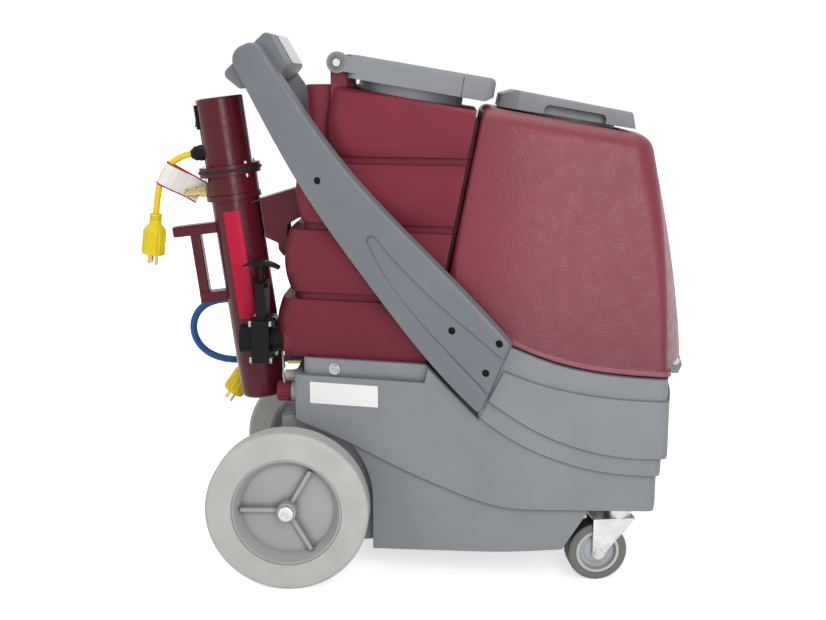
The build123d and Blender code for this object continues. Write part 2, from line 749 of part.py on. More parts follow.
def bulged_band(low, high, rear_x):
    """Band of the tank that swells between two grooves."""
    sections = []
    for share in (0.0, 0.16, 0.5, 0.84, 1.0):
        inset = BAND_BULGE * (2 * share - 1) ** 2
        sections.append(tank_section(low + share * (high - low), rear_x, inset, TANK_CORNER_R))
    return loft(sections)


def tank_profile(gap, floor, roof_drop):
    """Side view of the recovery tank's space behind the seam."""
    rear = -60.0
    front_low = (seam_x(floor, SEAM_GAP + gap), floor)
    head_z = recovery_top(SEAM_HEAD[0]) - roof_drop
    front_high = (seam_x(head_z, SEAM_GAP + gap), recovery_top(seam_x(head_z, SEAM_GAP + gap)) - roof_drop)
    return side_outline([(rear, floor), front_low, front_high, (rear, recovery_top(rear) - roof_drop)])


def recovery_shell():
    """Outer form of the recovery tank."""
    tank = loft([tank_section(TOP_BAND_Z, TOP_BAND_X, BAND_BULGE, TANK_CORNER_R),
                 tank_section(TOP_BAND_Z + 18, TOP_BAND_X, BAND_BULGE / 4, TANK_CORNER_R),
                 tank_section(TOP_BAND_Z + 45, TOP_BAND_X, 0, TANK_CORNER_R),
                 tank_section(RECOVERY_TOP_Z + 30, TOP_BAND_X, 0, TANK_CORNER_R)])
    for low, high, rear_x in BANDS:
        tank += bulged_band(low, high, rear_x)
    low, rear_low = BANDS[0][0], BANDS[0][2]
    tank += loft([tank_section(low + 2, rear_low, GROOVE_DEPTH, TANK_CORNER_R),
                  tank_section(TOP_BAND_Z + 5, BANDS[-1][2] + 12, GROOVE_DEPTH, TANK_CORNER_R)], ruled=True)
    tank &= slab(tank_profile(0, TANK_FLOOR, 0), BIG / 2)
    top = tank.faces().filter_by(lambda face: (face.normal_at() - RECOVERY_PLANE.z_dir).length < 0.01)
    seam_edge = top.edges().sort_by(Axis.X)[-1]
    return fillet([edge for edge in top.edges() if edge != seam_edge], TANK_TOP_R)


def seam_spine():
    """Rib on the recovery tank's front that closes the seam."""
    low, high = SEAM_FOOT[1] + SEAM_GAP, SEAM_HEAD[1] - 3 * SEAM_GAP
    back = SEAM_GAP + TANK_WALL / 2
    return slab(side_outline([(seam_x(low, back), low), (seam_x(low, SPINE_GAP), low),
                              (seam_x(high, SPINE_GAP), high), (seam_x(high, back), high)]), SPINE_HALF)


def recovery_tank():
    tank = recovery_shell() + seam_spine()
    tower = block((TOWER_X, NECK_X - NECK_R), (-TOWER_HALF, TOWER_HALF), (BANDS[-1][1] - 20, RECOVERY_TOP_Z))
    tower = fillet(tower.edges().filter_by(Axis.Z).group_by(Axis.X)[0], TANK_EDGE_R)
    tank += tower
    sump_x = sump_face()
    sump_end = lip_back() - 2
    tank += rod((sump_x, DUMP_Y, DUMP_Z), (sump_end, DUMP_Y, DUMP_Z), SUMP_R)
    for lug in hinge_lugs():
        tank += lug
    for boss in arm_bosses():
        tank += boss
    hollow = recovery_hollow()
    tank -= hollow
    tank -= rod((sump_x + TANK_WALL, DUMP_Y, DUMP_Z), (sump_end - TANK_WALL, DUMP_Y, DUMP_Z),
                SUMP_R - TANK_WALL)
    tank -= rod((-BIG, DUMP_Y, DUMP_Z), (0, DUMP_Y, DUMP_Z), DUMP_BORE_R)
    tank -= rod((-BIG, DUMP_Y, DUMP_Z), (sump_x, DUMP_Y, DUMP_Z), DUMP_SPIGOT_R + SEAT_GAP)
    tank -= RECOVERY_PLANE * disc(NECK_R + SEAT_GAP, -NECK_R, NECK_R)
    tank -= rod((port_face(), PORT_Y, PORT_Z), (PORT_INSIDE, PORT_Y, PORT_Z), PORT_R + SEAT_GAP)
    tank -= rod((*STANDPIPE_AT, 0), (*STANDPIPE_AT, TANK_FLOOR + 40), STANDPIPE_R + SEAT_GAP)
    for hole in arm_bolt_holes():
        tank -= hole
    for pin in hinge_pins(BOLT_GAP):
        tank -= pin
    return tank


def recovery_hollow():
    """Water space of the recovery tank."""
    inset = GROOVE_DEPTH + TANK_WALL
    floor = TANK_FLOOR + TANK_WALL
    space = loft([tank_section(floor, BANDS[0][2], inset, TANK_CORNER_R),
                  tank_section(RECOVERY_TOP_Z + 30, TOP_BAND_X, inset, TANK_CORNER_R)], ruled=True)
    return space & slab(tank_profile(TANK_WALL, floor, 2.5 * TANK_WALL), BIG / 2)


def recovery_neck():
    neck = ring(NECK_R, NECK_R - NECK_WALL, -2 * TANK_WALL, NECK_TOP)
    return RECOVERY_PLANE * neck


# Hinge of the recovery lid


def hinge_axis():
    """Point of the hinge axis on the mid-plane."""
    return RECOVERY_PLANE.from_local_coords(Vector(-HINGE_BACK, 0, HINGE_UP))


def hinge_lugs():
    axis = hinge_axis()
    outer = LID_HALF - HINGE_EAR - MOVE_GAP
    face_low = recovery_top(axis.X) - 20
    lug = block((axis.X - HINGE_LUG_R, axis.X + HINGE_LUG_R), (-outer, -outer + HINGE_EAR),
                (face_low, axis.Z))
    lug += rod((axis.X, -outer, axis.Z), (axis.X, -outer + HINGE_EAR, axis.Z), HINGE_LUG_R)
    return both_sides(lug)


def hinge_pins(gap=0.0):
    axis = hinge_axis()
    inner = LID_HALF - 2 * HINGE_EAR + 4
    shank = rod((axis.X, -inner, axis.Z), (axis.X, -LID_HALF - MOVE_GAP, axis.Z), HINGE_BOLT_R + gap)
    return both_sides(shank)


def recovery_hinge_bolts():
    axis = hinge_axis()
    bolts = []
    for side, shank in zip((-1, 1), hinge_pins()):
        start = LID_HALF + MOVE_GAP
        washer = rod((axis.X, side * start, axis.Z), (axis.X, side * (start + 2), axis.Z), HINGE_WASHER_R)
        head = rod((axis.X, side * (start + 2), axis.Z), (axis.X, side * (start + 6), axis.Z), HINGE_HEAD_R)
        bolts.append(shank + washer + head)
    return group(bolts)


def recovery_lid():
    """Lid with a hollow underside, a gasket seat and two hinge ears."""
    lid = block((-LID_REAR, LID_FRONT), (-LID_HALF, LID_HALF), (LID_UNDER, LID_TOP))
    lid = fillet(lid.edges().filter_by(Axis.Z), LID_CORNER_R)
    lid = fillet(lid.faces().sort_by(Axis.Z)[-1].edges(), LID_EDGE_R)
    line, side = LID_FRONT - LID_LINE, LID_HALF - LID_LINE_CUT
    core = block((line - 1, line + 2 * LID_LINE_CUT), (-side, side), (-1, LID_TOP - LID_LINE_CUT))
    lid -= block((line, line + LID_LINE_CUT), (-BIG, BIG), (0, BIG)) - core
    reach, rise = LID_RELIEF
    lid -= slab(side_outline([(LID_FRONT - reach, LID_UNDER), (LID_FRONT + reach, LID_UNDER),
                              (LID_FRONT + reach, LID_UNDER + 2 * rise)]), BIG)
    pocket_half = LID_HALF - LID_WALL
    pocket = block((LID_WALL - LID_REAR, LID_FRONT - LID_WALL), (-pocket_half, pocket_half),
                   (LID_UNDER, LID_TOP - 1.6 * LID_WALL))
    pocket = fillet(pocket.edges().filter_by(Axis.Z), LID_CORNER_R - LID_WALL)
    pocket -= ring(NECK_R + 4, NECK_R - NECK_WALL - 4, NECK_TOP + GASKET, LID_TOP)
    lid -= pocket
    lid += block((HINGE_CLEAR - HINGE_BACK, -LID_REAR + LID_WALL), (-LID_HALF, LID_HALF), HINGE_STRAP)
    for place in (-1, 1):
        y = (place * LID_HALF, place * (LID_HALF - HINGE_EAR))
        ear = block((-HINGE_BACK, -LID_REAR + LID_CORNER_R), (min(y), max(y)), HINGE_STRAP)
        ear += rod((-HINGE_BACK, y[0], HINGE_UP), (-HINGE_BACK, y[1], HINGE_UP), HINGE_BARREL_R)
        ear -= rod((-HINGE_BACK, y[0], HINGE_UP), (-HINGE_BACK, y[1], HINGE_UP), HINGE_BOLT_R + RUN_FIT)
        lid += ear
    return RECOVERY_PLANE * lid


def recovery_lid_gasket():
    return RECOVERY_PLANE * ring(NECK_R + 1, NECK_R - NECK_WALL - 1, NECK_TOP + MOVE_GAP, NECK_TOP + GASKET)


# Solution tank, its neck and its lift-off lid


def dome_loft(inset):
    """Body of the solution tank through its plan outlines."""
    rear = SEAM_FOOT[0] - 80
    sections = []
    for z, corner_x, nose, corner_r in DOME_SECTIONS:
        half = TANK_HALF - inset - DRAFT * (z - DOME_SECTIONS[0][0])
        outline = plan(half, rear, corner_x - inset, nose, REAR_CORNER_R, corner_r - inset / 2)
        sections.append(Pos(0, 0, z) * outline)
    return loft(sections)


def dome_bead():
    """Bead along the solution tank's rim, ahead of the handle arms."""
    low, high = rim_edge(0), rim_edge(-BEAD_HEIGHT)
    ends = Line(low @ 0, high @ 0) + Line(low @ 1, high @ 1)
    bead = dome_loft(-BEAD_PROUD) & slab(side_face(low, high, ends), BIG / 2)
    return bead & block((BEAD_FROM, BIG), (-BIG, BIG), (0, BIG))


def dome_profile(inset, roof_drop):
    """Side view of the solution tank between seam, top and rim."""
    shift = 1.2 * inset
    rim = Spline(*[(x + shift, z + inset) for x, z in RIM_EDGE])
    start, end = rim @ 0, rim @ 1
    head_x = SEAM_HEAD[0] + shift
    rest = Polyline((end.X, end.Y), (end.X, dome_top(end.X) - roof_drop),
                    (head_x, dome_top(head_x) - roof_drop), (start.X, start.Y))
    return side_face(rim, rest)


def nose_clearance(wall):
    """Space under the overhanging front of the solution tank, grown by a wall."""
    half, front_x = BASE_HALF + PANEL_STEP + MOVE_GAP, BASE_FRONT_X + PANEL_FRONT_STEP + MOVE_GAP - wall
    behind = plan(half, BASE_REAR_X, front_x, FRONT_BULGE, REAR_CORNER_R, FRONT_CORNER_R)
    return block((TAPER_X, BIG), (-BIG, BIG), (0, NOSE_BOTTOM + wall)) - extrude(behind, BIG)


def solution_tank():
    tank = dome_loft(0) & slab(dome_profile(0, 0), BIG / 2)
    top = tank.faces().filter_by(lambda face: (face.normal_at() - FILL_PLANE.z_dir).length < 0.01)
    seam_edge = top.edges().sort_by(Axis.X)[0]
    tank = fillet([edge for edge in top.edges() if edge != seam_edge], DOME_EDGE_R)
    tank = fillet(tank.edges().filter_by(Axis.Y).sort_by(Axis.Z)[-1], DOME_SEAM_R)
    tank += dome_bead()
    tank -= nose_clearance(0)
    hollow = dome_loft(DOME_WALL) & slab(dome_profile(DOME_WALL, DOME_ROOF), BIG / 2)
    tank -= hollow - nose_clearance(DOME_WALL)
    tank -= FILL_PLANE * disc(FILL_R + SEAT_GAP, -FILL_R, FILL_R)
    return tank


def solution_neck():
    return FILL_PLANE * ring(FILL_R, FILL_R - NECK_WALL, -DOME_ROOF, FILL_TOP)


def cap_plan(inset):
    """Outline of the lift-off lid from above, with its rear corners cut back."""
    rear, front, half = -CAP_REAR + inset, CAP_FRONT - inset, CAP_HALF - inset
    along, across = CAP_CORNER
    side = [(rear, half - across), (rear + along, half), (front, half)]
    corners = side + [(x, -y) for x, y in reversed(side)]
    return extrude(make_face(Polyline(*corners, close=True)), BIG, both=True)


def solution_lid():
    """Lift-off lid with a finger recess in each side."""
    outline = side_outline([(-CAP_REAR, CAP_UNDER), (CAP_FRONT, CAP_UNDER_FRONT),
                            (CAP_FRONT - CAP_SLANT, CAP_FRONT_TOP), (-CAP_REAR + CAP_BEVEL, CAP_TOP),
                            (-CAP_REAR + 1, CAP_REAR_TOP)])
    lid = slab(outline, CAP_HALF)
    lid = fillet([edge for edge in lid.edges() if edge.center().Z > CAP_ROOF - 1], CAP_EDGE_R) & cap_plan(0)
    pocket = block((-CAP_REAR + CAP_BEVEL + LID_WALL, CAP_FRONT - CAP_SLANT - LID_WALL), (-BIG, BIG),
                   (CAP_UNDER - 1, CAP_ROOF)) & cap_plan(LID_WALL)
    recess = block((-FINGER_LENGTH / 2, FINGER_LENGTH / 2), (-BIG, FINGER_DEPTH - CAP_HALF),
                   (CAP_UNDER - 8, FINGER_TOP))
    recess = fillet(recess.edges().filter_by(Axis.Y).group_by(Axis.Z)[-1], 8)
    back = block((-FINGER_LENGTH / 2 - LID_WALL, FINGER_LENGTH / 2 + LID_WALL),
                 (-BIG, FINGER_DEPTH - CAP_HALF + LID_WALL), (-BIG, FINGER_TOP + LID_WALL))
    for wall, cut in zip(both_sides(back), both_sides(recess)):
        pocket -= wall
        lid -= cut
    return FILL_PLANE * (lid - pocket)


def solution_lid_gasket():
    return FILL_PLANE * ring(FILL_R - 1, FILL_R - NECK_WALL - 1, FILL_TOP + MOVE_GAP, CAP_ROOF)


# Front hinge of the solution tank


def base_front():
    """Front of the raised panel on the mid-plane."""
    return BASE_FRONT_X + PANEL_FRONT_STEP + FRONT_BULGE


def front_hinge_bracket():
    back = base_front()
    half = LEAF_HALF + MOVE_GAP + EAR_THICK
    ear_face = side_outline([(back, BRACKET_BOTTOM), (TILT_X + 6, BRACKET_BOTTOM), (REACH_FRONT, TILT_Z - 8),
                             (TILT_X + 6, BRACKET_TOP), (back, BRACKET_TOP)])
    bracket = slab(ear_face, half)
    gap = LEAF_HALF + MOVE_GAP
    bracket -= block((TILT_X - TILT_BARREL_R - 1.5, BIG), (-gap, gap), (0, BIG))
    bracket -= rod((TILT_X, -BIG, TILT_Z), (TILT_X, BIG, TILT_Z), TILT_PIN_R + BOLT_GAP)
    return bracket


def front_hinge_pin():
    half = LEAF_HALF + MOVE_GAP + EAR_THICK
    pin = rod((TILT_X, -half - 1, TILT_Z), (TILT_X, half + 1, TILT_Z), TILT_PIN_R)
    for side in (-1, 1):
        pin += rod((TILT_X, side * half, TILT_Z), (TILT_X, side * (half + 4), TILT_Z), TILT_PIN_R + 3)
    return pin


def tank_hinge_leaf():
    """Knuckle under the nose of the solution tank."""
    leaf = rod((TILT_X, -LEAF_HALF, TILT_Z), (TILT_X, LEAF_HALF, TILT_Z), TILT_BARREL_R)
    leaf += block((TILT_X - 5, TILT_X + 5), (-LEAF_HALF, LEAF_HALF), (TILT_Z, NOSE_BOTTOM))
    plate = (base_front() + 2, DOME_NOSE_X - 3)
    leaf += block(plate, (-LEAF_HALF, LEAF_HALF), (NOSE_BOTTOM - 6, NOSE_BOTTOM))
    leaf -= rod((TILT_X, -BIG, TILT_Z), (TILT_X, BIG, TILT_Z), TILT_PIN_R + RUN_FIT)
    return leaf


# Handle arms


def arm_plane():
    """Outer face of the right arm: local X along the arm's plane, local Y up, local Z outwards."""
    turn = radians(ARM_DEG)
    outwards = (-sin(turn), -cos(turn), 0)
    return Plane(origin=(TAPER_X, -ARM_HALF, 0), x_dir=(cos(turn), -sin(turn), 0), z_dir=outwards)


def arm_local(point):
    """Side-view point as a point of the arm's plane."""
    return ((point[0] - TAPER_X) / cos(radians(ARM_DEG)), point[1])


def arm_curve(points):
    return Spline(*[arm_local(point) for point in points])


def arm_bolt(point, radius, low, high):
    """Cylinder square to the right arm at a side-view point; 0 is the arm's outer face."""
    x, z = arm_local(point)
    return arm_plane() * (Pos(x, z, 0) * disc(radius, low, high))


def arm_face():
    """Outline of an arm in its own plane."""
    upper = arm_curve(ARM_UPPER_EDGE)
    lower = arm_curve(ARM_LOWER_EDGE)
    crown = Line(lower @ 1, upper @ 0)
    end = Line(upper @ 1, lower @ 0)
    face = make_face(upper.edges() + lower.edges() + crown.edges() + end.edges())
    face = fillet(face.vertices().sort_by(Axis.X)[:2], ARM_CROWN_R)
    face = fillet(face.vertices().sort_by(Axis.X)[-1], ARM_CORNER_R)
    return fillet(face.vertices().group_by(Axis.Y)[0].sort_by(Axis.X)[-1], ARM_FOOT_R)


def handle_arm():
    arm = extrude(arm_face(), amount=-ARM_THICK)
    arm = fillet(arm.faces().sort_by(Axis.Z)[-1].edges(), ARM_EDGE_R)
    panel_low = arm_curve(ARM_PANEL_LOWER)
    panel_high = arm_curve(ARM_PANEL_UPPER)
    tip = ThreePointArc(panel_low @ 1, arm_local(ARM_PANEL_TIP), panel_high @ 0)
    foot = Line(panel_high @ 1, panel_low @ 0)
    panel = make_face(panel_low.edges() + panel_high.edges() + tip.edges() + foot.edges())
    arm -= extrude(panel, amount=-ARM_PANEL_DEPTH)
    arm = arm_plane() * (arm - arm_crease())
    for point in ARM_BOLTS:
        arm -= arm_bolt(point, ARM_BOLT_HEAD_R + SEAT_GAP, -ARM_BOLT_SINK - 3, 1)
        arm -= arm_bolt(point, ARM_BOLT_R + BOLT_GAP, -ARM_THICK - 1, 0)
    return arm


def arm_crease():
    """What the arm's lower strip is cut back by, along a line down the arm, in the arm's plane."""
    start, end = [Vector(*arm_local(point)) for point in ARM_CREASE]
    along = (end - start).normalized()
    place = Plane(origin=start - along * ARM_CROWN_R * 3, x_dir=along, z_dir=(0, 0, 1)).location
    cut = Box(2 * (end - start).length, BIG, BIG, align=(Align.MIN, Align.MAX, Align.MIN))
    return place * Rot(ARM_CREASE_DEG, 0, 0) * cut


def arm_bosses():
    """Pads on the tank's sides behind the arms' upper bolts."""
    boss = arm_bolt(ARM_BOLTS[0], 3 * ARM_BOLT_HEAD_R, -ARM_THICK - 3 * GROOVE_DEPTH, -ARM_THICK)
    return both_sides(boss)


def arm_bolt_holes():
    holes = []
    for point in ARM_BOLTS:
        hole = arm_bolt(point, ARM_BOLT_R + BOLT_GAP, -ARM_THICK - ARM_BOLT_GRIP - 1, 0)
        holes += both_sides(hole)
    return holes


def handle_bolts():
    bolts = []
    for point in ARM_BOLTS:
        head_low = -ARM_BOLT_SINK - 3
        bolt = arm_bolt(point, ARM_BOLT_R, -ARM_THICK - ARM_BOLT_GRIP, head_low + 1)
        bolt += arm_bolt(point, ARM_BOLT_HEAD_R, head_low, head_low + 4)
        bolts += both_sides(bolt)
    return group(bolts)


# Console and rocker switches


def arm_inner(x):
    """Half the distance between the arms' inner faces at x."""
    return ARM_HALF - ARM_SLOPE * (TAPER_X - x) - ARM_THICK / cos(radians(ARM_DEG))


def console_width(inset):
    rear, front = CONSOLE[-1][0] - 20, CONSOLE[1][0] + 20
    rear_half, front_half = arm_inner(rear) - inset, arm_inner(front) - inset
    corners = [(rear, -rear_half), (front, -front_half), (front, front_half), (rear, rear_half)]
    return extrude(make_face(Polyline(*corners, close=True)), 2 * BIG)


def console_box():
    face = fillet(side_outline(CONSOLE).vertices(), CONSOLE_R)
    box = slab(face, BIG / 2) & console_width(SEAT_GAP)
    inner = offset(face, -CONSOLE_WALL)
    room = slab(inner, BIG / 2) & console_width(CONSOLE_WALL)
    mouth = block([CONSOLE[3][0] + x for x in CONSOLE_SLOT], (-CONSOLE_SLOT_HALF, CONSOLE_SLOT_HALF),
                  (CONSOLE[3][1] - 2 * CONSOLE_WALL, CONSOLE[3][1] + 4 * CONSOLE_WALL))
    box -= room + mouth
    for place in console_switches():
        box -= place * bezel_body(SEAT_GAP)
    return box


def console_switches():
    """Places of the switches on the operator's face of the console."""
    low, high = Vector(CONSOLE[-1][0], 0, CONSOLE[-1][1]), Vector(CONSOLE[0][0], 0, CONSOLE[0][1])
    along = (high - low).normalized()
    out = Vector(-along.Z, 0, along.X)
    middle = low + (high - low) * SWITCH_AT
    return [Plane(origin=middle + Vector(0, side * SWITCH_Y, 0), x_dir=along, z_dir=out) for side in (-1, 1)]


def bezel_body(gap=0.0):
    length = ROCKER_LENGTH + 2 * (MOVE_GAP + BEZEL_RIM)
    width = ROCKER_WIDTH + 2 * (MOVE_GAP + BEZEL_RIM)
    return block((-length / 2 + 2 - gap, length / 2 - 2 + gap), (-width / 2 + 2 - gap, width / 2 - 2 + gap),
                 (-BEZEL_DEPTH - gap, 0.01))


def bezel():
    """Frame of a rocker switch, with local Z out of the panel."""
    length = ROCKER_LENGTH + 2 * (MOVE_GAP + BEZEL_RIM)
    width = ROCKER_WIDTH + 2 * (MOVE_GAP + BEZEL_RIM)
    frame = block((-length / 2, length / 2), (-width / 2, width / 2), (0, BEZEL_PROUD)) + bezel_body()
    frame -= block((-ROCKER_LENGTH / 2 - MOVE_GAP - 1, ROCKER_LENGTH / 2 + MOVE_GAP + 1),
                   (-ROCKER_WIDTH / 2 - MOVE_GAP, ROCKER_WIDTH / 2 + MOVE_GAP),
                   (-BEZEL_DEPTH + 1.5, BEZEL_PROUD + 1))
    return frame - rocker_pivot(RUN_FIT)


def rocker_pivot(gap=0.0):
    """Stub axles that a rocker turns on in its frame."""
    reach = ROCKER_WIDTH / 2 + MOVE_GAP + PIVOT + gap
    return rod((0, -reach, 0), (0, reach, 0), PIVOT_R + gap)


def rocker():
    """Rocker in its off position; it turns about local Y at the panel's face."""
    half = ROCKER_LENGTH / 2
    face = side_outline([(-half, -ROCKER_DEPTH), (half, -ROCKER_DEPTH), (half, BEZEL_PROUD + 1.5),
                         (0, BEZEL_PROUD), (-half, BEZEL_PROUD + 1.5)])
    return Rot(0, ROCKER_TILT, 0) * slab(face, ROCKER_WIDTH / 2) + rocker_pivot()


# Inline heater, drawn about its own axis: local Z up the axis, local X to the machine


def heater_place(height=0.0):
    lean = radians(HEATER_LEAN)
    origin = Vector(HEATER_FOOT_X, 0, HEATER_FOOT_Z) + Vector(-sin(lean), 0, cos(lean)) * height
    return Plane(origin=origin, x_dir=(cos(lean), 0, sin(lean)), z_dir=(-sin(lean), 0, cos(lean)))


def head_from():
    return FLANGE_FROM + 2 * FLANGE_THICK + FLANGE_GASKET


def flange_bolt_points():
    circle = COLLAR_R + FLANGE_BOLT_R + FLANGE_BOLT_HEAD + MOVE_GAP
    return [(circle * cos(radians(a)), circle * sin(radians(a)))
            for a in [45 + 360 * index / FLANGE_BOLTS for index in range(FLANGE_BOLTS)]]


def heater_tube():
    body = disc(HEATER_R, 0, COLLAR_FROM + 5)
    body = fillet(body.edges().sort_by(Axis.Z)[0], 9)
    body += disc(COLLAR_R, COLLAR_FROM, FLANGE_FROM + 1)
    body += disc(FLANGE_R, FLANGE_FROM, FLANGE_FROM + FLANGE_THICK)
    body -= disc(HEATER_R - HEATER_WALL, 10, FLANGE_FROM + FLANGE_THICK + 1)
    for x, y in flange_bolt_points():
        body -= Pos(x, y, 0) * disc(FLANGE_BOLT_R + BOLT_GAP, FLANGE_FROM - 1, BIG)
    body -= Pos(0, 0, COUPLER_AT) * rod((-BIG, 0, 0), (0, 0, 0), 6 + SEAT_GAP)
    body -= Pos(0, 0, INLET_AT) * rod((0, 0, 0), (0, BIG, 0), 6 + SEAT_GAP)
    return heater_place() * body


def heater_gasket():
    low = FLANGE_FROM + FLANGE_THICK
    gasket = ring(FLANGE_R + 2, HEATER_R - HEATER_WALL, low, low + FLANGE_GASKET)
    for x, y in flange_bolt_points():
        gasket -= Pos(x, y, 0) * disc(FLANGE_BOLT_R + BOLT_GAP, low - 1, BIG)
    return heater_place() * gasket


def heater_head():
    low = head_from() - FLANGE_THICK
    head = disc(HEATER_R, low, HEATER_LENGTH)
    head = fillet(head.edges().sort_by(Axis.Z)[-1], 3)
    head += disc(FLANGE_R, low, head_from())
    head -= disc(HEATER_R - HEATER_WALL, low + FLANGE_THICK, HEATER_LENGTH - HEATER_WALL)
    for x, y in flange_bolt_points():
        head -= Pos(x, y, 0) * disc(FLANGE_BOLT_R + BOLT_GAP, low - 1, low + 2 * FLANGE_THICK)
    head -= Pos(0, 0, GLAND_AT) * rod((-BIG, 0, 0), (0, 0, 0), CORD_D / 2 + SEAT_GAP)
    head -= disc(3 * ELEMENT_R, low - 1, low + FLANGE_THICK + 1)
    head = heater_place() * head
    return head - heater_switch_place() * bezel_body(SEAT_GAP)


def heater_element():
    """Heating rod hung from a plug in the head's floor."""
    low = head_from() - FLANGE_THICK
    rods = disc(3 * ELEMENT_R - SEAT_GAP, low, low + FLANGE_THICK)
    for side in (-1, 1):
        rods += Pos(0, side * 1.6 * ELEMENT_R, 0) * disc(ELEMENT_R, 60, low + 1)
    rods += Pos(0, 0, 60) * rod((0, -1.6 * ELEMENT_R, 0), (0, 1.6 * ELEMENT_R, 0), ELEMENT_R)
    return heater_place() * rods


def flange_bolt_set():
    bolts = []
    low, high = FLANGE_FROM, head_from()
    for x, y in flange_bolt_points():
        bolt = disc(FLANGE_BOLT_R, low - 6, high + 2)
        head_r = FLANGE_BOLT_R + FLANGE_BOLT_HEAD
        bolt += disc(head_r, low - 4, low) + disc(head_r, high, high + 4)
        bolts.append(heater_place() * (Pos(x, y, 0) * bolt))
    return bolts


def heater_switch_place():
    """Switch on the head's outer side, facing the operator."""
    plane = heater_place(HEATER_SWITCH_AT)
    return Plane(origin=plane.origin - plane.x_dir * HEATER_R, x_dir=plane.z_dir, z_dir=-plane.x_dir)


def heater_handle():
    """Grip behind the tube, with a rounded plate above it to hang things on."""
    half = GRIP_WIDTH / 2
    inner, outer = GRIP_OFFSET - GRIP_BAR / 2, GRIP_OFFSET + GRIP_BAR / 2
    grip = block((-outer, -inner), (-half * 0.8, half * 0.8), (GRIP_BOTTOM - GRIP_BAR / 2, GRIP_TOP))
    grip = fillet(grip.edges().filter_by(Axis.Z), 4)
    low = block((-outer, 0), (-half, half), (GRIP_BOTTOM - GRIP_BAR / 2, GRIP_BOTTOM + GRIP_BAR / 2))
    top = block((-GRIP_REACH, 0), (-half, half), (GRIP_TOP - GRIP_BAR / 2, GRIP_TOP + GRIP_BAR / 2))
    top = fillet(top.edges().filter_by(Axis.Z).group_by(Axis.X)[0], half - 0.5)
    low = fillet(low.edges().filter_by(Axis.Z).group_by(Axis.X)[0], 6)
    grip = grip + fillet(top.edges().group_by(Axis.Z)[-1], GRIP_EDGE_R) + low
    grip -= disc(HEATER_R + 0.05, 0, HEATER_LENGTH)
    return heater_place() * grip


def heater_bracket():
    """Cradle along the tube with a boxed sheet-metal arm to the recovery tank."""
    inner, outer = HEATER_R + 0.05, HEATER_R + CRADLE
    cradle = ring(outer, inner, CRADLE_FROM, CRADLE_TO) & block((HEATER_R * 0.35, BIG), (-BIG, BIG), (0, BIG))
    strap = ring(STRAP_R, inner, CRADLE_TO - 1, COLLAR_FROM - MOVE_GAP)
    sides = slab(side_outline(BRACKET_SIDE), BRACKET_HALF)
    sides -= slab(side_outline([(x, z - SHEET if index < 2 else z - 4 * SHEET)
                                for index, (x, z) in enumerate(BRACKET_SIDE)]), BRACKET_HALF - SHEET)
    (low_x, low_z), (high_x, high_z) = BRACKET_SIDE[:2]
    end_z = high_z - (high_z - low_z) / (high_x - low_x) * (high_x + STRAP_REACH)
    sheet = slab(side_outline([(-STRAP_REACH, end_z), (high_x, high_z), (high_x, high_z - SHEET),
                               (-STRAP_REACH, end_z - SHEET)]), BRACKET_HALF)
    sheet -= heater_place() * disc(inner, 0, HEATER_LENGTH)
    sheet -= heater_place() * disc(COLLAR_R + MOVE_GAP, COLLAR_FROM - MOVE_GAP, HEATER_LENGTH)
    face_x = BANDS[-1][2] - SEAT_GAP
    plate = block((high_x - 0.5, face_x), (-BRACKET_HALF, BRACKET_HALF), (BRACKET_SIDE[2][1], high_z))
    return heater_place() * (cradle + strap) + sheet + sides + plate


# Glands, fittings, cords and plugs


def gland(bore_r, seat=0.0):
    """Cord gland with local Z out of the wall; its nut reaches down by a seat depth."""
    nut = Pos(0, 0, -seat) * extrude(RegularPolygon(GLAND_R, 6), seat + 8)
    dome = spin([(bore_r, 8), (GLAND_R - 1, 8), (GLAND_R - 1, 14), (bore_r + 2, GLAND_LENGTH),
                 (bore_r, GLAND_LENGTH)])
    return nut + dome - disc(bore_r, -seat - 1, GLAND_LENGTH + 1)


def heater_gland_place():
    plane = heater_place(GLAND_AT)
    return Plane(origin=plane.origin - plane.x_dir * HEATER_R, x_dir=plane.z_dir, z_dir=-plane.x_dir)


def machine_gland_place():
    start = (lip_back(), MACHINE_CORD[0][1], MACHINE_CORD[0][2])
    return Plane(origin=start, x_dir=(0, 1, 0), z_dir=(-1, 0, 0))


def cord_glands():
    bore = CORD_D / 2
    on_head = heater_gland_place() * gland(bore, HEATER_WALL)
    on_head -= heater_place() * disc(HEATER_R + 0.05, 0, HEATER_LENGTH)
    return group([on_head, machine_gland_place() * gland(bore)])


def tube_along(points, diameter, name):
    """Round tube along straight runs joined by arcs as large as the runs allow."""
    runs = [Vector(*end) - Vector(*start) for start, end in zip(points, points[1:])]
    room = [run.length * (0.9 if index in (0, len(runs) - 1) else 0.45) for index, run in enumerate(runs)]
    radii = []
    for index in range(len(runs) - 1):
        turn = radians(runs[index].get_angle(runs[index + 1]))
        radii.append(min(room[index], room[index + 1]) / tan(turn / 2))
    path = FilletPolyline(*points, radius=radii)
    start = Plane(origin=path @ 0, z_dir=path % 0)
    tube = sweep(start * Circle(diameter / 2), path=path)
    exact = path.length * 3.14159265 * diameter ** 2 / 4
    print(name, "length", round(path.length, 1), "radii / d", [round(r / diameter, 1) for r in radii],
          "volume ratio", round(tube.volume / exact, 4))
    return tube


def plug_place(route):
    """Plug at the end of a cord: local Z along the cord's last run."""
    end, before = Vector(*route[-1]), Vector(*route[-2])
    return Plane(origin=end, x_dir=(0, 1, 0), z_dir=end - before)


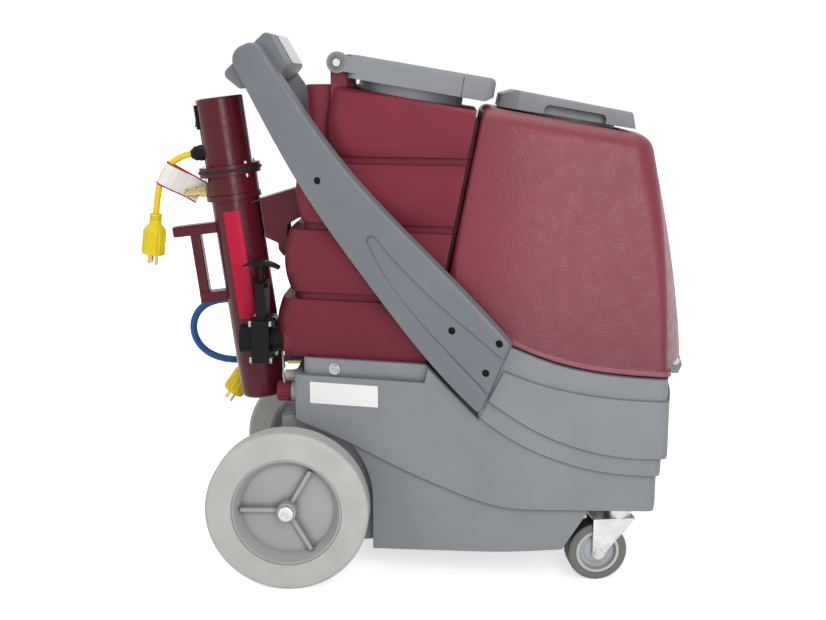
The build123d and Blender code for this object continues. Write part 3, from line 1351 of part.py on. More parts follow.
def plug(route):
    body = spin([(0, 0), (PLUG_NECK_R, 0), (PLUG_NECK_R, PLUG_NECK), (PLUG_R - 2, PLUG_NECK + 8),
                 (PLUG_R, PLUG_NECK + 14), (PLUG_R, PLUG_LENGTH), (0, PLUG_LENGTH)])
    body = fillet(body.edges().sort_by(Axis.Z)[-1], 2)
    for low in (PLUG_NECK / 4, PLUG_NECK / 2):
        body -= ring(PLUG_R, PLUG_NECK_R - FLUTE_R, low, low + FLUTE_R)
    flute = Pos(PLUG_R + FLUTE_R, 0, 0) * disc(2 * FLUTE_R, PLUG_NECK + 8, PLUG_LENGTH - 8)
    for index in range(PLUG_FLUTES):
        body -= Rot(0, 0, 360 * index / PLUG_FLUTES) * flute
    return plug_place(route) * body


def plug_blades(route):
    end = PLUG_LENGTH
    blades = []
    for side in (-1, 1):
        middle = side * BLADE_PITCH / 2
        blades.append(block((middle - BLADE_THICK / 2, middle + BLADE_THICK / 2), (-BLADE_WIDTH, 0),
                            (end, end + BLADE)))
    blades.append(Pos(0, BLADE_PITCH / 2, 0) * disc(1.2 * BLADE_THICK, end, end + 1.2 * BLADE))
    return [plug_place(route) * blade for blade in blades]


def brass_fittings():
    """Quick coupler on the heater, and the hose's two end fittings."""
    seat = heater_place(COUPLER_AT)
    out = Plane(origin=seat.origin - seat.x_dir * COLLAR_R, x_dir=(0, 1, 0), z_dir=-seat.x_dir)
    coupler = out * (disc(6, -COLLAR_R + HEATER_R - 4, 1) + extrude(RegularPolygon(10, 6), 12)
                     + disc(7, 12, 17) + disc(9, 17, 22) + disc(6, 22, 32) + disc(7.5, 32, 36))
    coupler -= heater_place() * disc(COLLAR_R + 0.05, COLLAR_FROM, FLANGE_FROM) - out * disc(6, -30, 1)
    inlet = heater_place(INLET_AT)
    corner = (inlet.origin.X, HOSE[0][1], HOSE[0][2])
    elbow = rod(HOSE[0], corner, FITTING_R)
    elbow += rod((corner[0], HEATER_R + 0.3, corner[2]), corner, FITTING_R)
    elbow += rod((corner[0], HEATER_R - 4, corner[2]), (corner[0], HEATER_R + 4, corner[2]), 6)
    elbow += Pos(*corner) * Sphere(FITTING_R)
    far = HOSE[-1]
    outlet = rod((BASE_REAR_X, far[1], far[2]), far, FITTING_R)
    nut = extrude(RegularPolygon(FITTING_R + 4, 6), 14)
    outlet += Plane(origin=(BASE_REAR_X, far[1], far[2]), z_dir=(-1, 0, 0)) * nut
    return group([coupler, elbow, outlet])


# Dump gate valve, vacuum port, drain


def sump_face():
    """Back of the sump that the dump valve's inlet ends at, inside the lowest band."""
    return BANDS[0][2] + SUMP_INSET


def dump_middle():
    return DUMP_BODY_X + DUMP_BODY_THICK / 2


def dump_valve_body():
    x0, x1 = DUMP_BODY_X, DUMP_BODY_X + DUMP_BODY_THICK
    middle = dump_middle()
    body = block((x0, x1), (DUMP_Y - DUMP_HALF, DUMP_Y + DUMP_HALF), (DUMP_BOTTOM, DUMP_TOP))
    body = fillet(body.edges().filter_by(Axis.X), 6)
    body += block((middle - HOUSING_THICK / 2, middle + HOUSING_THICK / 2),
                  (DUMP_Y - HOUSING_HALF, DUMP_Y + HOUSING_HALF), (DUMP_TOP - 5, HOUSING_TOP))
    body += block((middle - HOUSING_THICK / 2 - 4, middle + HOUSING_THICK / 2 + 4),
                  (DUMP_Y - HOUSING_HALF / 2, DUMP_Y + HOUSING_HALF / 2), (HOUSING_TOP - 8, HOUSING_TOP))
    sump_x = sump_face()
    body += rod((x0, DUMP_Y, DUMP_Z), (sump_x - 0.05, DUMP_Y, DUMP_Z), DUMP_SPIGOT_R)
    body += rod((DUMP_OUT_X, DUMP_Y, DUMP_Z), (x0 + 1, DUMP_Y, DUMP_Z), DUMP_OUT_R)
    body -= rod((DUMP_OUT_X - 1, DUMP_Y, DUMP_Z), (x0, DUMP_Y, DUMP_Z), DUMP_OUT_R - DUMP_OUT_WALL)
    body -= rod((DUMP_OUT_X - 1, DUMP_Y, DUMP_Z), (sump_x + 1, DUMP_Y, DUMP_Z), DUMP_BORE_R)
    slot, slot_half = GATE_THICK / 2 + MOVE_GAP, GATE_HALF + MOVE_GAP
    body -= block((middle - slot, middle + slot), (DUMP_Y - slot_half, DUMP_Y + slot_half),
                  (DUMP_Z - slot_half, HOUSING_TOP - 6))
    body -= rod((middle, DUMP_Y, stem_foot() - 1), (middle, DUMP_Y, HOUSING_TOP + 5), STEM_R + MOVE_GAP)
    for y, z in dump_bolt_points():
        body -= rod((x0 - 1, y, z), (x1 + 1, y, z), DUMP_BOLT_R + BOLT_GAP)
    return body


def dump_bolt_points():
    y = DUMP_HALF - 6
    return [(DUMP_Y + side * y, z) for side in (-1, 1) for z in (DUMP_BOTTOM + 6, DUMP_TOP - 6)]


def dump_bolt_set():
    bolts = []
    x0, x1 = DUMP_BODY_X, DUMP_BODY_X + DUMP_BODY_THICK
    for y, z in dump_bolt_points():
        head_r = DUMP_BOLT_R + 2.5
        bolt = rod((x0 - 3, y, z), (x1 + 3, y, z), DUMP_BOLT_R)
        bolt += rod((x0 - 4, y, z), (x0, y, z), head_r) + rod((x1, y, z), (x1 + 4, y, z), head_r)
        bolts.append(bolt)
    return bolts


def stem_foot():
    """Where the gate's flat tail ends and the round stem starts, gate closed."""
    return HOUSING_TOP - 6 - GATE_TRAVEL - MOVE_GAP


def dump_gate():
    """Blade in its closed place, with the flat tail that pulls it up."""
    middle = dump_middle()
    gate = block((middle - GATE_THICK / 2, middle + GATE_THICK / 2), (DUMP_Y - GATE_HALF, DUMP_Y + GATE_HALF),
                 (DUMP_Z - GATE_HALF, DUMP_Z + GATE_HALF))
    gate = fillet(gate.edges().filter_by(Axis.X).group_by(Axis.Z)[0], GATE_HALF - 1)
    tail = block((middle - GATE_THICK / 2, middle + GATE_THICK / 2), (DUMP_Y - STEM_R, DUMP_Y + STEM_R),
                 (DUMP_Z, stem_foot()))
    return gate + tail


def dump_tee_handle():
    """Pull handle with a bowed cross-bar, on the round part of the stem."""
    middle = dump_middle()
    span = TEE_SPAN / 2
    crest, rear, front = TEE_Z + TEE_SAG, middle - span, middle + span
    top = ThreePointArc((rear, TEE_Z), (middle, crest), (front, TEE_Z - TEE_THICK / 2))
    low = ThreePointArc((rear, TEE_Z - 2), (middle, crest - TEE_THICK), (front, TEE_Z - TEE_THICK))
    ends = Line(top @ 0, low @ 0) + Line(top @ 1, low @ 1)
    bar = slab(side_face(top, low, ends), TEE_WIDTH / 2, DUMP_Y)
    return bar + rod((middle, DUMP_Y, stem_foot()), (middle, DUMP_Y, TEE_Z + TEE_SAG / 2), STEM_R)


def port_face():
    """Outer end of the vacuum port."""
    return BANDS[1][2] - PORT_PROUD


def vac_hose_port():
    """Hose cuff socket through the tank's back."""
    socket = rod((port_face(), PORT_Y, PORT_Z), (PORT_INSIDE, PORT_Y, PORT_Z), PORT_R)
    socket -= rod((-BIG, PORT_Y, PORT_Z), (BIG, PORT_Y, PORT_Z), PORT_BORE_R)
    return socket


def drain_place():
    """Drain on the base's back: local Z out of the machine."""
    return Plane(origin=(BASE_REAR_X, DRAIN_Y, DRAIN_Z), x_dir=(0, 1, 0), z_dir=(-1, 0, 0))


def drain_port():
    port = disc(DRAIN_CAP_R - 1, 0, DRAIN_COLLAR) + disc(DRAIN_R, 0, DRAIN_LENGTH)
    return drain_place() * (port - disc(DRAIN_R - 4, -1, DRAIN_LENGTH + 1))


def drain_cap():
    start = DRAIN_COLLAR + MOVE_GAP
    cap = disc(DRAIN_CAP_R, start, start + DRAIN_CAP_LENGTH)
    cap = fillet(cap.edges().sort_by(Axis.Z)[-1], 3)
    flute = Pos(DRAIN_CAP_R + FLUTE_R / 2, 0, 0) * disc(FLUTE_R, 0, BIG)
    for index in range(DRAIN_FLUTES):
        cap -= Rot(0, 0, 360 * index / DRAIN_FLUTES) * flute
    return drain_place() * (cap - disc(DRAIN_R + MOVE_GAP, start - 1, DRAIN_LENGTH + MOVE_GAP))


# Inside pieces and fasteners


def bay_floor():
    return SKIRT_BOTTOM_FRONT[1] + BASE_WALL


def vacuum_motor():
    y = bay_half() - MOTOR_R - INSIDE_GAP
    motor = disc(MOTOR_R, 0, MOTOR_HEIGHT * 0.55) + disc(MOTOR_R * 0.7, 0, MOTOR_HEIGHT)
    return Pos(MOTOR_X, y, bay_floor()) * fillet(motor.edges().group_by(Axis.Z)[-1], 6)


def solution_pump():
    length, width, height = PUMP_SIZE
    y = 2 * INSIDE_GAP + width / 2 - bay_half()
    pump = Box(length * 0.45, width, height, align=(Align.MAX, Align.CENTER, Align.MIN))
    pump = fillet(pump.edges().filter_by(Axis.Z), 8)
    pump += rod((-1, 0, height / 2), (length * 0.5, 0, height / 2), width * 0.42)
    pump += block((0, length * 0.45), (-width * 0.3, width * 0.3), (0, height / 2))
    return Pos(PUMP_X, y, bay_floor()) * pump


def float_standpipe():
    """Vacuum standpipe with its float cage."""
    x, y = STANDPIPE_AT
    pipe = ring(STANDPIPE_R, STANDPIPE_R - 3, TANK_FLOOR, STANDPIPE_TOP)
    cage = ring(FLOAT_CAGE_R, FLOAT_CAGE_R - 3, STANDPIPE_TOP - 8, STANDPIPE_TOP + FLOAT_CAGE)
    cage += ring(FLOAT_CAGE_R, STANDPIPE_R - 3, STANDPIPE_TOP - 8, STANDPIPE_TOP)
    for index in range(2):
        slot = Box(3 * FLOAT_CAGE_R, CAGE_SLOT, FLOAT_CAGE - CAGE_SLOT)
        cage -= Pos(0, 0, STANDPIPE_TOP + FLOAT_CAGE / 2) * (Rot(0, 0, 90 * index) * slot)
    return Pos(x, y, 0) * (pipe + cage)


def tank_screws():
    """Pan screws through the lip of the base into the recovery tank's foot."""
    half = half_width(SCREW_X, BASE_HALF - LIP_INSET)
    z = (BASE_TOP + TANK_FLOOR) / 2 - SCREW_DROP
    turn = radians(TAPER_DEG)
    outwards = (-sin(turn), -cos(turn), 0)
    out = Plane(origin=(SCREW_X, -half, z), x_dir=(cos(turn), -sin(turn), 0), z_dir=outwards)
    screw = disc(SCREW_WASHER_R, 0.05, 2) + disc(SCREW_R, 2, 5)
    for turn_deg in (45, 135):
        screw -= Rot(0, 0, turn_deg) * (Pos(0, 0, 5) * Box(1.3 * SCREW_R, SCREW_SLOT, 2 * SCREW_SLOT))
    return group(both_sides(out * screw))


def write(name, shape):
    export_step(Pos(-ORIGIN_X, 0, 0) * shape, f"parts/{name}.step")


def switch_parts():
    """Bezels of all the rocker switches, and each rocker by name."""
    places = dict(zip(("vacuum_switch", "pump_switch"), console_switches()))
    places["heater_switch"] = heater_switch_place()
    frames = group([place * bezel() for place in places.values()])
    return frames, {name: place * rocker() for name, place in places.items()}


def main():
    os.makedirs("parts", exist_ok=True)
    print("origin moved by", round(ORIGIN_X, 2))
    for maker in (base_tub, rear_axle, axle_caps, caster_plates, recovery_tank, recovery_neck,
                  recovery_hinge_bolts, recovery_lid, recovery_lid_gasket, solution_tank, solution_neck,
                  solution_lid, solution_lid_gasket, front_hinge_bracket, front_hinge_pin, tank_hinge_leaf,
                  handle_bolts, console_box, heater_tube, heater_gasket, heater_head, heater_element,
                  heater_handle, heater_bracket, cord_glands, brass_fittings, dump_valve_body, dump_gate,
                  dump_tee_handle, vac_hose_port, drain_port, drain_cap, vacuum_motor, solution_pump,
                  float_standpipe, tank_screws):
        print(maker.__name__)
        write(maker.__name__, maker())
    for side_name, side in (("right", -1), ("left", 1)):
        for maker in (rear_tyre, rear_rim, caster_fork, caster_tyre, caster_hub):
            write(f"{maker.__name__}_{side_name}", maker(side))
    for name, arm in zip(("handle_arm_right", "handle_arm_left"), both_sides(handle_arm())):
        write(name, arm)
    frames, rockers = switch_parts()
    write("switch_bezels", frames)
    for name, piece in rockers.items():
        write(name, piece)
    write("hex_bolts", group(flange_bolt_set() + dump_bolt_set()))
    write("heater_cord", tube_along(HEATER_CORD, CORD_D, "heater_cord"))
    write("machine_cord", tube_along(MACHINE_CORD, CORD_D, "machine_cord"))
    write("solution_hose", tube_along(HOSE, HOSE_D, "solution_hose"))
    write("heater_plug", plug(HEATER_CORD))
    write("machine_plug", plug(MACHINE_CORD))
    write("plug_blades", group(plug_blades(HEATER_CORD) + plug_blades(MACHINE_CORD)))


if __name__ == "__main__":
    main()
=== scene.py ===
import json
from math import cos, pi, radians, sin

import bmesh
import bpy
from mathutils import Matrix, Vector


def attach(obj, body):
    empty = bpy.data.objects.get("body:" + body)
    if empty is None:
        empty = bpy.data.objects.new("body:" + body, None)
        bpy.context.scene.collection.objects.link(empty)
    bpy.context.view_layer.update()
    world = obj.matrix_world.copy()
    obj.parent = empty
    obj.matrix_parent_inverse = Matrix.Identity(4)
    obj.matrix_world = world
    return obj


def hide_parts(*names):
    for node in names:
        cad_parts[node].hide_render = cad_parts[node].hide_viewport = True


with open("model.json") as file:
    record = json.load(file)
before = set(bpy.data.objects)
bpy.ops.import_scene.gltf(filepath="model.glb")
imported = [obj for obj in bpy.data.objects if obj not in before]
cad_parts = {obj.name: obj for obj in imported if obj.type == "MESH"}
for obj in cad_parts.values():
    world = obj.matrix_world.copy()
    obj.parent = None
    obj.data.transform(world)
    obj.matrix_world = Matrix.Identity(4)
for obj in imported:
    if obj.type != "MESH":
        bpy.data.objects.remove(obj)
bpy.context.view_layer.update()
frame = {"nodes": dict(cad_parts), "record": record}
NODES = frame["nodes"]

# Sizes in the machine's own frame are in millimetres, X = 0 on the rear axle
ORIGIN_X = 210.73
MM = 0.001


def at(x, y, z):
    """Point of the machine's own frame in the row frame, in metres."""
    return Vector(((x - ORIGIN_X) * MM, y * MM, z * MM))


# Materials


class Look:
    """A principled material with its node tree at hand."""

    def __init__(self, name, color, roughness, metallic=0.0, specular=0.5):
        self.material = bpy.data.materials.new(name)
        self.material.use_nodes = True
        self.tree = self.material.node_tree
        self.shader = self.tree.nodes["Principled BSDF"]
        self.color = (*color, 1.0)
        self.set("Base Color", self.color)
        self.set("Roughness", roughness)
        self.set("Metallic", metallic)
        self.set("Specular IOR Level", specular)
        self.coords = self.node("ShaderNodeTexCoord").outputs["Object"]
        self.height = None
        self.base = None

    def set(self, socket, value):
        self.shader.inputs[socket].default_value = value

    def node(self, kind, **values):
        made = self.tree.nodes.new(kind)
        for key, value in values.items():
            setattr(made, key, value)
        return made

    def link(self, source, target):
        self.tree.links.new(source, target)

    def noise(self, scale, detail=3.0, roughness=0.55, stretch=None):
        made = self.node("ShaderNodeTexNoise")
        made.inputs["Scale"].default_value = scale
        made.inputs["Detail"].default_value = detail
        made.inputs["Roughness"].default_value = roughness
        source = self.coords
        if stretch:
            mapping = self.node("ShaderNodeMapping")
            mapping.inputs["Scale"].default_value = stretch
            self.link(source, mapping.inputs["Vector"])
            source = mapping.outputs["Vector"]
        self.link(source, made.inputs["Vector"])
        return made.outputs["Fac"]

    def ramp(self, factor, stops):
        """Colour by a factor, through stops of position and colour."""
        made = self.node("ShaderNodeValToRGB")
        scale = made.color_ramp.elements
        scale[0].position, scale[1].position = stops[0][0], stops[-1][0]
        scale[0].color, scale[1].color = (*stops[0][1], 1.0), (*stops[-1][1], 1.0)
        for position, color in stops[1:-1]:
            scale.new(position).color = (*color, 1.0)
        self.link(factor, made.inputs["Fac"])
        return made.outputs["Color"]

    def spread(self, value, low, high, start=0.0, stop=1.0):
        """Value between low and high taken to a range from start to stop."""
        made = self.node("ShaderNodeMapRange")
        for socket, number in (("From Min", low), ("From Max", high), ("To Min", start), ("To Max", stop)):
            made.inputs[socket].default_value = number
        self.link(value, made.inputs["Value"])
        return made.outputs["Result"]

    def mottle(self, scale, amount, stretch=None):
        """Vary the base colour by a share either way."""
        base = self.color[:3]
        dark = [c * (1 - amount) for c in base]
        light = [min(1.0, c * (1 + amount)) for c in base]
        return self.tint(self.ramp(self.noise(scale, 4.0, stretch=stretch), [(0.3, dark), (0.7, light)]))

    def tint(self, source):
        self.base = source
        self.link(source, self.shader.inputs["Base Color"])
        return self

    def layer(self, mask, color):
        """Lay another colour over the base colour where the mask is 1."""
        mix = self.node("ShaderNodeMix", data_type="RGBA")
        self.link(mask, mix.inputs[0])
        self.link(self.base, mix.inputs[6])
        mix.inputs[7].default_value = (*color, 1.0)
        return self.tint(mix.outputs[2])

    def paint_crease_shade(self, reach, amount):
        """Painted shade: darken the base colour in inside corners within a reach, where ambient occlusion
        finds them.
        """
        shade = self.node("ShaderNodeAmbientOcclusion", samples=12, only_local=True)
        shade.inputs["Distance"].default_value = reach
        mask = self.spread(shade.outputs["AO"], 0.45, 0.95, amount, 0.0)
        return self.layer(mask, [c * 0.2 for c in self.color[:3]])

    def soften(self, radius):
        """Round the normals at edges, as the small radii of a moulding do."""
        made = self.node("ShaderNodeBevel", samples=6)
        made.inputs["Radius"].default_value = radius
        self.height = made.outputs["Normal"]
        return self

    def ring_distance(self, place):
        """Distance from an axis along Y through a place."""
        offset = self.node("ShaderNodeVectorMath", operation="SUBTRACT")
        offset.inputs[1].default_value = place
        self.link(self.coords, offset.inputs[0])
        flat = self.node("ShaderNodeVectorMath", operation="MULTIPLY")
        flat.inputs[1].default_value = (1, 0, 1)
        self.link(offset.outputs["Vector"], flat.inputs[0])
        reach = self.node("ShaderNodeVectorMath", operation="LENGTH")
        self.link(flat.outputs["Vector"], reach.inputs[0])
        return reach.outputs["Value"]

    def axis_facing(self, axis):
        """How far the surface faces along an axis, either way."""
        facing = self.node("ShaderNodeVectorMath", operation="DOT_PRODUCT")
        facing.inputs[1].default_value = axis
        self.link(self.node("ShaderNodeTexCoord").outputs["Normal"], facing.inputs[0])
        size = self.node("ShaderNodeMath", operation="ABSOLUTE")
        self.link(facing.outputs["Value"], size.inputs[0])
        return size.outputs["Value"]

    def coordinate(self, axis, low, high):
        """0 to 1 along an object coordinate from low to high."""
        parts = self.node("ShaderNodeSeparateXYZ")
        self.link(self.coords, parts.inputs["Vector"])
        return self.spread(parts.outputs[axis], low, high)

    def product(self, first, second):
        made = self.node("ShaderNodeMath", operation="MULTIPLY")
        self.link(first, made.inputs[0])
        self.link(second, made.inputs[1])
        return made.outputs["Value"]

    def above_line(self, line, low, high):
        """1 in a strip between two heights over a line of X and Z, fading at both edges."""
        parts = self.node("ShaderNodeSeparateXYZ")
        self.link(self.coords, parts.inputs["Vector"])
        first, last = line[0][0], line[-1][0]
        floor, roof = min(z for x, z in line), max(z for x, z in line)
        stops = [((x - first) / (last - first), [(z - floor) / (roof - floor)] * 3) for x, z in line]
        along = self.ramp(self.spread(parts.outputs["X"], first, last), stops)
        over = self.node("ShaderNodeMath", operation="SUBTRACT")
        self.link(parts.outputs["Z"], over.inputs[0])
        self.link(self.spread(along, 0.0, 1.0, floor, roof), over.inputs[1])
        share = self.spread(over.outputs["Value"], low, high)
        return self.ramp(share, [(0.0, [0.0] * 3), (0.25, [1.0] * 3), (0.7, [1.0] * 3), (1.0, [0.0] * 3)])

    def vary_roughness(self, scale, low, high, stretch=None):
        self.link(self.spread(self.noise(scale, 3.0, stretch=stretch), 0.3, 0.7, low, high),
                  self.shader.inputs["Roughness"])
        return self

    def band(self, axis, low, high, inside):
        """Base colour that changes to another one outside a range of an object coordinate."""
        parts = self.node("ShaderNodeSeparateXYZ")
        self.link(self.coords, parts.inputs["Vector"])
        middle, half = (low + high) / 2, (high - low) / 2
        away = self.node("ShaderNodeMath", operation="COMPARE")
        away.inputs[1].default_value = middle
        away.inputs[2].default_value = half
        self.link(parts.outputs[axis], away.inputs[0])
        return self.tint(self.ramp(away.outputs["Value"], [(0.4, self.color[:3]), (0.6, inside)]))

    def bump(self, scale, strength, distance, detail=2.0, stretch=None):
        made = self.node("ShaderNodeBump")
        made.inputs["Strength"].default_value = strength
        made.inputs["Distance"].default_value = distance
        self.link(self.noise(scale, detail, stretch=stretch), made.inputs["Height"])
        if self.height:
            self.link(self.height, made.inputs["Normal"])
        self.height = made.outputs["Normal"]
        self.link(self.height, self.shader.inputs["Normal"])
        return self


def moulded(name, color, roughness, grain, specular=0.3, edge=0.0015):
    """Rotomoulded plastic: orange peel, slight mottling, satin gloss, painted shade in inside corners."""
    look = Look(name, color, roughness, specular=specular).soften(edge)
    # Painted shade in inside corners, from ambient occlusion on the base colour.
    look.mottle(9, 0.06).paint_crease_shade(0.012, 0.6).vary_roughness(60, roughness - 0.06, roughness + 0.08)
    return look.bump(330, grain, 0.0011).bump(1100, grain * 0.6, 0.0004).bump(24, grain * 0.25, 0.002)


def painted(name, color, roughness, specular=0.35):
    look = Look(name, color, roughness, specular=specular).soften(0.0008)
    look.mottle(14, 0.08).vary_roughness(90, roughness - 0.06, roughness + 0.1)
    return look.bump(700, 0.08, 0.0003).bump(60, 0.05, 0.001)


def rubber(name, color, roughness, grain=0.12, specular=0.25):
    look = Look(name, color, roughness, specular=specular)
    look.mottle(22, 0.07).vary_roughness(120, roughness - 0.08, roughness + 0.08)
    return look.bump(900, grain, 0.0003)


def metal(name, color, roughness, stretch=(1.0, 1.0, 1.0)):
    look = Look(name, color, roughness, metallic=1.0).soften(0.0006)
    look.mottle(35, 0.12, stretch).vary_roughness(140, roughness * 0.7, roughness * 1.5, stretch)
    return look.bump(400, 0.12, 0.0003, stretch=stretch)


def card(name, color, edge=None, half=0.01):
    """Plain card, with another colour along both long sides where an edge is given."""
    look = Look(name, edge or color, 0.45, specular=0.3)
    look.band("Y", -half, half, color)
    return look.bump(500, 0.06, 0.0002)


MAROON = (0.178, 0.0225, 0.0375)
GRAY = (0.215, 0.226, 0.242)
BLACK = (0.008, 0.008, 0.008)

# Lines of the side view and the lid hinge's axis, in the machine's own frame
ARM_EDGE = [(127, 470), (165, 423), (207, 372), (250, 329), (298, 282)]
RIM_EDGE = [(340, 391), (375, 376.5), (410, 365), (450, 355), (491, 349), (571, 343), (650, 338)]
HINGE_BOLT = (76.73, 0, 806)


def side_line(points):
    """Line of the side view in metres."""
    return [(point.x, point.z) for point in [at(x, 0, z) for x, z in points]]


def shaded(color, share):
    return [c * share for c in color]


def dome_skin():
    """Skin of the front tank: hazier than the rear one, with painted shade towards its foot and a painted
    highlight along the bead over its rim.
    """
    look = moulded("dome_skin", MAROON, 0.37, 0.6, 0.38)
    # Painted shade: darker towards the tank's foot.
    foot = look.spread(look.coordinate("Z", 0.5, 0.36), 0.0, 1.0, 0.0, 0.4)
    look.layer(foot, shaded(MAROON, 0.5))
    # Painted highlight: a paler strip along the bead over the rim.
    strip = look.above_line(side_line(RIM_EDGE), -0.001, 0.0105)
    return look.layer(look.spread(strip, 0.0, 1.0, 0.0, 0.45), (0.36, 0.12, 0.15))


def rear_skin():
    """Skin of the rear tank, with painted shade towards its foot and a darker painted shadow on the sump
    under it.
    """
    look = moulded("rear_skin", MAROON, 0.48, 0.35, 0.2)
    # Painted shade: darker towards the tank's foot.
    foot = look.spread(look.coordinate("Z", 0.68, 0.4), 0.0, 1.0, 0.0, 0.5)
    look.layer(foot, shaded(MAROON, 0.45))
    # Painted shadow on the sump under the tank's rear.
    behind = look.coordinate("X", *[at(x, 0, 0).x for x in (34, 28)])
    under = look.coordinate("Z", 0.360, 0.346)
    return look.layer(look.product(under, behind), shaded(MAROON, 0.25))


def tub_skin():
    """Skin of the base, with a painted shadow in a strip below the arm's foot."""
    look = moulded("tub_skin", GRAY, 0.52, 0.2)
    # Painted shadow: near black strip below the arm's foot, where the arm shades the base.
    arm_shadow = look.above_line(side_line(ARM_EDGE), -0.017, 0.004)
    ahead = look.coordinate("X", *[at(x, 0, 0).x for x in (297, 293)])
    return look.layer(look.product(arm_shadow, ahead), shaded(GRAY, 0.03))


def caster_rubber():
    """Black tread with gray sides."""
    look = rubber("caster_tread", (0.025, 0.025, 0.024), 0.5)
    turn = radians(8.0)
    side = look.spread(look.axis_facing((-sin(turn), cos(turn), 0)), 0.4, 0.6)
    return look.layer(side, (0.155, 0.15, 0.135))


def washer_bolt():
    """Bright bolt head on a dull washer."""
    look = metal("washer_bolt", (0.13, 0.125, 0.115), 0.45)
    reach = look.ring_distance(at(*HINGE_BOLT))
    look.layer(look.spread(reach, 0.0062, 0.0056), (0.4, 0.4, 0.4))
    rim = look.ramp(look.spread(reach, 0.0, 0.012), [(0.46, [0.0] * 3), (0.52, [1.0] * 3), (0.6, [0.0] * 3)])
    return look.layer(rim, (0.03, 0.03, 0.03))


LOOKS = {
    "maroon_shell": moulded("maroon_shell", MAROON, 0.5, 0.3, 0.22),
    "maroon_paint": painted("maroon_paint", (0.085, 0.009, 0.016), 0.24, 0.2),
    "gray_shell": moulded("gray_shell", GRAY, 0.52, 0.2),
    "tyre_gray": rubber("tyre_gray", (0.44, 0.435, 0.415), 0.62),
    "rim_gray": moulded("rim_gray", (0.335, 0.342, 0.342), 0.48, 0.1),
    "caster_tread": caster_rubber(),
    "caster_core": moulded("caster_core", (0.46, 0.48, 0.5), 0.42, 0.08),
    "zinc": metal("zinc", (0.55, 0.56, 0.55), 0.32),
    "bright_steel": metal("bright_steel", (0.36, 0.36, 0.36), 0.2),
    "black_bolt": painted("black_bolt", BLACK, 0.55, 0.08),
    "brass": metal("brass", (0.5, 0.39, 0.18), 0.25),
    "black_plastic": moulded("black_plastic", BLACK, 0.4, 0.1, 0.1),
    "green_switch": painted("green_switch", (0.015, 0.26, 0.17), 0.3),
    "black_rubber": rubber("black_rubber", (0.016, 0.016, 0.016), 0.7),
    "port_white": moulded("port_white", (0.5, 0.49, 0.44), 0.5, 0.08),
    "yellow_rubber": rubber("yellow_rubber", (0.76, 0.575, 0.022), 0.42, 0.05, 0.15),
    "blue_rubber": rubber("blue_rubber", (0.012, 0.085, 0.26), 0.45, 0.05),
    "cast_metal": metal("cast_metal", (0.5, 0.5, 0.51), 0.45),
}
ARM_LOOK = moulded("arm_gray", (0.158, 0.167, 0.186), 0.48, 0.2, 0.35)
# The necks take a bluer gray, made lighter than the shell: painted light against the shade under the lids.
NECK_LIT_LOOK = moulded("neck_gray_lit", (0.42, 0.44, 0.49), 0.5, 0.1)
NODE_LOOKS = {
    "solution_tank": dome_skin(),
    "recovery_tank": rear_skin(),
    "base_tub": tub_skin(),
    "handle_arm_right": ARM_LOOK,
    "handle_arm_left": ARM_LOOK,
    "console_box": ARM_LOOK,
    "recovery_neck": NECK_LIT_LOOK,
    "solution_neck": NECK_LIT_LOOK,
    "recovery_hinge_bolts": washer_bolt(),
}
DETAIL_LOOKS = {
    # Black card, used as painted shade on the heater's head.
    "black_shade_card": card("black_shade_card", BLACK),
    "pipe_gray": rubber("pipe_gray", (0.36, 0.36, 0.34), 0.5),
    "light_card": card("light_card", (0.72, 0.73, 0.74)),
    "white_card": card("white_card", (0.78, 0.78, 0.77)),
    "red_strip": painted("red_strip", (0.46, 0.009, 0.04), 0.4, 0.15),
    "cord_tag": card("cord_tag", (0.76, 0.74, 0.73), (0.4, 0.02, 0.03), 0.0178),
}


def dress_nodes():
    """Every CAD node takes its own look or the one of its slot in the record."""
    for entry in frame["record"]["subparts"]:
        name = entry["node"]
        look = NODE_LOOKS.get(name, LOOKS[entry["material_slot"]])
        NODES[name].data.materials.clear()
        NODES[name].data.materials.append(look.material)


# Cords and hose

CORD_D = 10.5
HOSE_D = 12.5
HEATER_CORD = [(-174.73, 0, 661.25), (-188.6, 0, 659.5), (-212.3, 0, 644.7), (-227.6, 0, 621.2),
               (-234.7, 0, 587.9), (-237.7, 0, 563.1)]
MACHINE_CORD = [(-2.5, 64, 337.5), (-33, 64, 337.5), (-59, 64, 330.5), (-79.5, 64, 316.5), (-92, 64, 299)]
HOSE = [(-98, 52, 411), (-124, 52, 411), (-155, 55, 408), (-183, 61, 394), (-199, 69, 367), (-199, 77, 337),
        (-184, 84, 311), (-157, 90, 296), (-126, 94, 292), (-95, 96, 293), (-65, 96, 295), (-38, 95, 295)]


def cord_curve(name, route, diameter, look):
    """Round cord on one smooth line through the route."""
    curve = bpy.data.curves.new(name, "CURVE")
    curve.dimensions = "3D"
    curve.bevel_depth = diameter * MM / 2
    curve.bevel_resolution = 8
    curve.resolution_u = 24
    curve.use_fill_caps = True
    spline = curve.splines.new("NURBS")
    spline.points.add(len(route) - 1)
    for point, place in zip(spline.points, route):
        point.co = (*at(*place), 1.0)
    spline.order_u = 3
    spline.use_endpoint_u = True
    piece = bpy.data.objects.new(name, curve)
    bpy.context.scene.collection.objects.link(piece)
    curve.materials.append(LOOKS[look].material)
    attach(piece, "base")
    return piece


def add_cords():
    heater = cord_curve("heater_flex", HEATER_CORD, CORD_D, "yellow_rubber")
    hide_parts("heater_cord")
    machine = cord_curve("machine_flex", MACHINE_CORD, CORD_D, "yellow_rubber")
    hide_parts("machine_cord")
    hose = cord_curve("solution_line", HOSE, HOSE_D, "blue_rubber")
    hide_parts("solution_hose")


# Plain plates, painted shade sheet, strip, tag and pipe end

FILM = 0.0003
HEATER_SKIN = 38.2 * MM
HEATER_LEAN = radians(7.25)
TAG_HALF = 0.0203


